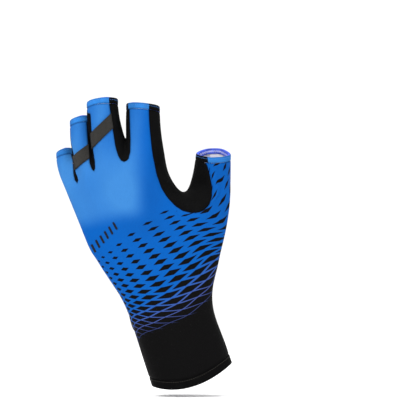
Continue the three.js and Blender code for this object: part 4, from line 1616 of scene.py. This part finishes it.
def iso_paths(patch, field, value):
    """Paths along which field has a value: lists of points and normals on the patch."""
    used = np.unique(patch.triangles)
    level = np.full(len(patch.points), 1e3)
    level[used] = field(patch.points[used]) - value
    level[level == 0] = 1e-6
    links = {}
    for corners in patch.triangles:
        cut = []
        for i in range(3):
            a, b = corners[i], corners[(i + 1) % 3]
            if level[a] * level[b] < 0:
                cut.append((min(a, b), max(a, b)))
        if len(cut) == 2:
            links.setdefault(cut[0], []).append(cut[1])
            links.setdefault(cut[1], []).append(cut[0])
    paths = []
    left = set(links)
    ends = [key for key, near in links.items() if len(near) == 1]
    for start in ends + list(links):
        if start not in left:
            continue
        left.discard(start)
        path, at = [start], start
        while True:
            onward = [key for key in links[at] if key in left]
            if not onward:
                break
            at = onward[0]
            left.discard(at)
            path.append(at)
        if start not in ends and len(path) > 2:
            path.append(start)
        spots, ways = [], []
        for a, b in path:
            share = level[a] / (level[a] - level[b])
            spots.append(mix(patch.points[a], patch.points[b], share))
            ways.append(unit(mix(patch.normals[a], patch.normals[b], share)))
        if len(spots) > 3:
            paths.append((np.array(spots), np.array(ways)))
    return paths


STITCH_RINGS = 5
STITCH_SIDES = 6
STITCH_RISE = 0.18  # share of its width that a stitch's middle line stands off the cloth
STITCH_DIP = 0.16  # how far its ends go down
STITCH_TAPER = 0.93
STITCH_LOOK = 0.4  # how far ahead and behind the path is looked at for its way


def at_length(s, along, rows):
    """The row at a length along a path."""
    return np.array([np.interp(s, along, rows[:, i]) for i in range(3)])


def add_stitch(verts, loops, middle, way, side, out, length, width):
    """One rounded thread with its two ends closed."""
    first = len(verts)
    for j in range(STITCH_RINGS):
        t = -1 + 2 * j / (STITCH_RINGS - 1)
        radius = width / 2 * math.sqrt(1 - (STITCH_TAPER * t) ** 2)
        centre = middle + way * t * length / 2 - out * STITCH_DIP * t * t
        for k in range(STITCH_SIDES):
            a = 2 * math.pi * k / STITCH_SIDES
            verts.append(centre + side * radius * math.cos(a) + out * radius * math.sin(a))
    for j in range(STITCH_RINGS - 1):
        ring = first + j * STITCH_SIDES
        for k in range(STITCH_SIDES):
            a, b = ring + k, ring + (k + 1) % STITCH_SIDES
            loops.append((a, b, b + STITCH_SIDES, a + STITCH_SIDES))
    last = first + (STITCH_RINGS - 1) * STITCH_SIDES
    loops.append(tuple(first + k for k in reversed(range(STITCH_SIDES))))
    loops.append(tuple(last + k for k in range(STITCH_SIDES)))


def stitches(name, paths, material, pitch=2.6, length=1.9, width=0.42, lift=none, turn=0,
             inward=False):
    """Short rounded threads laid along paths; turn swings each about the cloth's normal."""
    verts, loops = [], []
    for spots, ways in paths:
        steps = np.linalg.norm(np.diff(spots, axis=0), axis=1)
        along = np.concatenate([[0], np.cumsum(steps)])
        for number, s in enumerate(np.arange(pitch / 2, along[-1], pitch)):
            centre = at_length(s, along, spots)
            normal = unit(at_length(s, along, ways))
            way = at_length(s + STITCH_LOOK, along, spots) - at_length(s - STITCH_LOOK, along, spots)
            way = unit(way - normal * (way @ normal))
            side = np.cross(normal, way)
            swing = math.radians(turn if number % 2 else -turn)
            way, side = (way * math.cos(swing) + side * math.sin(swing),
                         side * math.cos(swing) - way * math.sin(swing))
            out = -normal if inward else normal
            middle = centre + normal * lift(centre[None])[0] + out * width * STITCH_RISE
            add_stitch(verts, loops, middle, way, side, out, length, width)
    mesh = bpy.data.meshes.new(name)
    mesh.from_pydata((np.array(verts) * MM).tolist(), [], loops)
    mesh.materials.append(material)
    add_object(name, mesh)


def paths_at(patch, field, *values):
    return [path for value in values for path in iso_paths(patch, field, value)]


stitches("stitch_suede_edge", paths_at(palm_patch, palm_field, -1.5, -3.4), THREAD_GREY,
         lift=strap_lift)
for where, patch in hem_patches.items():
    to_rim = edge_distance(patch, upper=True)
    stitches(f"stitch_hem_{where}", paths_at(patch, to_rim, 1.7), THREAD_BLUE,
             pitch=1.7, length=1.3, width=0.32, turn=38)
    stitches(f"overlock_{where}", paths_at(patch, to_rim, 2.6), THREAD_PALE,
             pitch=1.1, length=2.4, lift=flat(-HEM_WALL), turn=62, inward=True)
to_cuff_rim = edge_distance(trunk_hem, upper=False)
stitches("stitch_cuff_hem", paths_at(trunk_hem, to_cuff_rim, 6.2), THREAD_BLACK,
         pitch=1.9, length=1.0, width=0.36)


# Printed bars where the photo has words, and the palm's small holes


def laid(name, shapes, patch, height, thick, material, lift=none):
    """Thin print, or painted shade, over a patch in the form of many convex shapes."""
    drawn = convex_field(shapes)
    near = drawn(patch.points[patch.triangles].mean(1)) < SHAPE_REACH
    cut = trim(patch.keep(near), drawn, whole_part=False)
    shell(name, cut, lambda points: lift(points) + height, flat(thick), material, groove=0,
          gap=0)


def bars(x0, z0, x1, z1, count, half_length, half_width, lean):
    """Even slanted bars from one place to another."""
    shapes = []
    way = np.array([math.cos(math.radians(lean)), math.sin(math.radians(lean))])
    side = np.array([-way[1], way[0]])
    for t in np.linspace(0, 1, count):
        centre = mix(np.array([x0, z0]), np.array([x1, z1]), t)
        shapes.append([centre + way * a * half_length + side * b * half_width
                       for a, b in ((-1, -1), (1, -1), (1, 1), (-1, 1))])
    return shapes


fine_back = front_cloth(fine_skin)
fine_back = fine_back.keep(fine_back.side("back") & fine_back.where("trunk", "hand"))
laid("printed_bars_back", bars(-81.5, 106, -63.5, 124.5, 6, 3.6, 0.85, 118), fine_back, 0.3, 0.25,
     PRINT_INK)
strap_patch = palm_fine.keep(palm_fine.where("trunk"))
laid("printed_bars_strap", bars(-36.5, 50, -26, 14, 6, 3.4, 1.0, 8), strap_patch, 0.35, 0.25,
     SILICONE, lift=strap_lift)
# The palm's holes are drawn as near black discs on the suede, painted shade where each hole is.
HOLES = [
    (-69.7, 201.6), (-89.9, 183.7), (-79.2, 170.3), (-86.9, 165.7), (-60.6, 187.4),
    (-43.1, 204.6), (-45.4, 189.5), (-36, 192), (-53.7, 127.5), (-64.1, 122.5),
    (-73, 118), (-57.4, 119.1), (-67.4, 114.8), (4, 168), (9, 176),
]
HOLE_RADIUS = 0.75
HOLE_SIDES = 8
turns = np.linspace(0, 2 * math.pi, HOLE_SIDES + 1)[:-1]
disc = HOLE_RADIUS * np.column_stack([np.cos(turns), np.sin(turns)])
laid("perforation_painted_shades", [disc + hole for hole in HOLES], palm_fine, 0.12, 0.1, HOLE_PAINTED_SHADE)


# Stage, light and camera


LENS = 300
SENSOR = 36
CAMERA_PLACE = (0.0066, -2.766, 0.146)
WORLD_LIGHT = 0.95
FLOOR_DROP = 0.0012


def stage_plane():
    """A level floor that turns up into a wall behind the glove, metres."""
    low = cad_box[0].z - FLOOR_DROP
    half, front, turn, radius, top = 4.0, -4.0, 3.4, 0.7, 2.6
    line = [(front, low), (turn, low)]
    line += [(turn + radius * math.sin(a), low + radius * (1 - math.cos(a)))
             for a in np.linspace(0, math.pi / 2, 25)[1:]]
    line.append((turn + radius, top))
    verts = [(x, y, z) for y, z in line for x in (-half, half)]
    sides = [(2 * i, 2 * i + 1, 2 * i + 3, 2 * i + 2) for i in range(len(line) - 1)]
    mesh = bpy.data.meshes.new("floor")
    mesh.from_pydata(verts, [], sides)
    mesh.polygons.foreach_set("use_smooth", [True] * len(sides))
    floor = bpy.data.objects.new("floor", mesh)
    bpy.context.scene.collection.objects.link(floor)
    g = Graph("pale floor")
    g.set(Base_Color=(0.95, 0.95, 0.95), Roughness=0.9, Specular_IOR_Level=0.1,
          Emission_Color=(1, 1, 1, 1), Emission_Strength=0.1)
    mesh.materials.append(g.material)


stage_plane()

world = bpy.data.worlds.new("studio")
bpy.context.scene.world = world
world.use_nodes = True
background = world.node_tree.nodes["Background"]
background.inputs[0].default_value = (1, 1, 1, 1)
background.inputs[1].default_value = WORLD_LIGHT


def area(name, place, target, size, power):
    light = bpy.data.lights.new(name, "AREA")
    light.shape = "RECTANGLE"
    light.size, light.size_y = size
    light.energy = power
    made = bpy.data.objects.new(name, light)
    made.location = place
    way = Vector(target) - Vector(place)
    made.rotation_euler = way.to_track_quat("-Z", "Y").to_euler()
    bpy.context.scene.collection.objects.link(made)


area("key", (-0.5, -0.8, 0.75), (-0.04, 0, 0.12), (0.5, 0.7), 9)
area("fill", (0.7, -0.6, 0.3), (-0.02, 0, 0.1), (0.5, 0.9), 3)
area("top", (0, 0.1, 0.95), (-0.02, 0, 0.1), (0.8, 0.6), 5)

camera_data = bpy.data.cameras.new("camera")
camera_data.lens = LENS
camera_data.sensor_width = SENSOR
camera = bpy.data.objects.new("camera", camera_data)
camera.location = CAMERA_PLACE
camera.rotation_euler = (math.radians(90), 0, 0)
bpy.context.scene.collection.objects.link(camera)
bpy.context.scene.camera = camera
bpy.context.scene.view_settings.view_transform = "Standard"
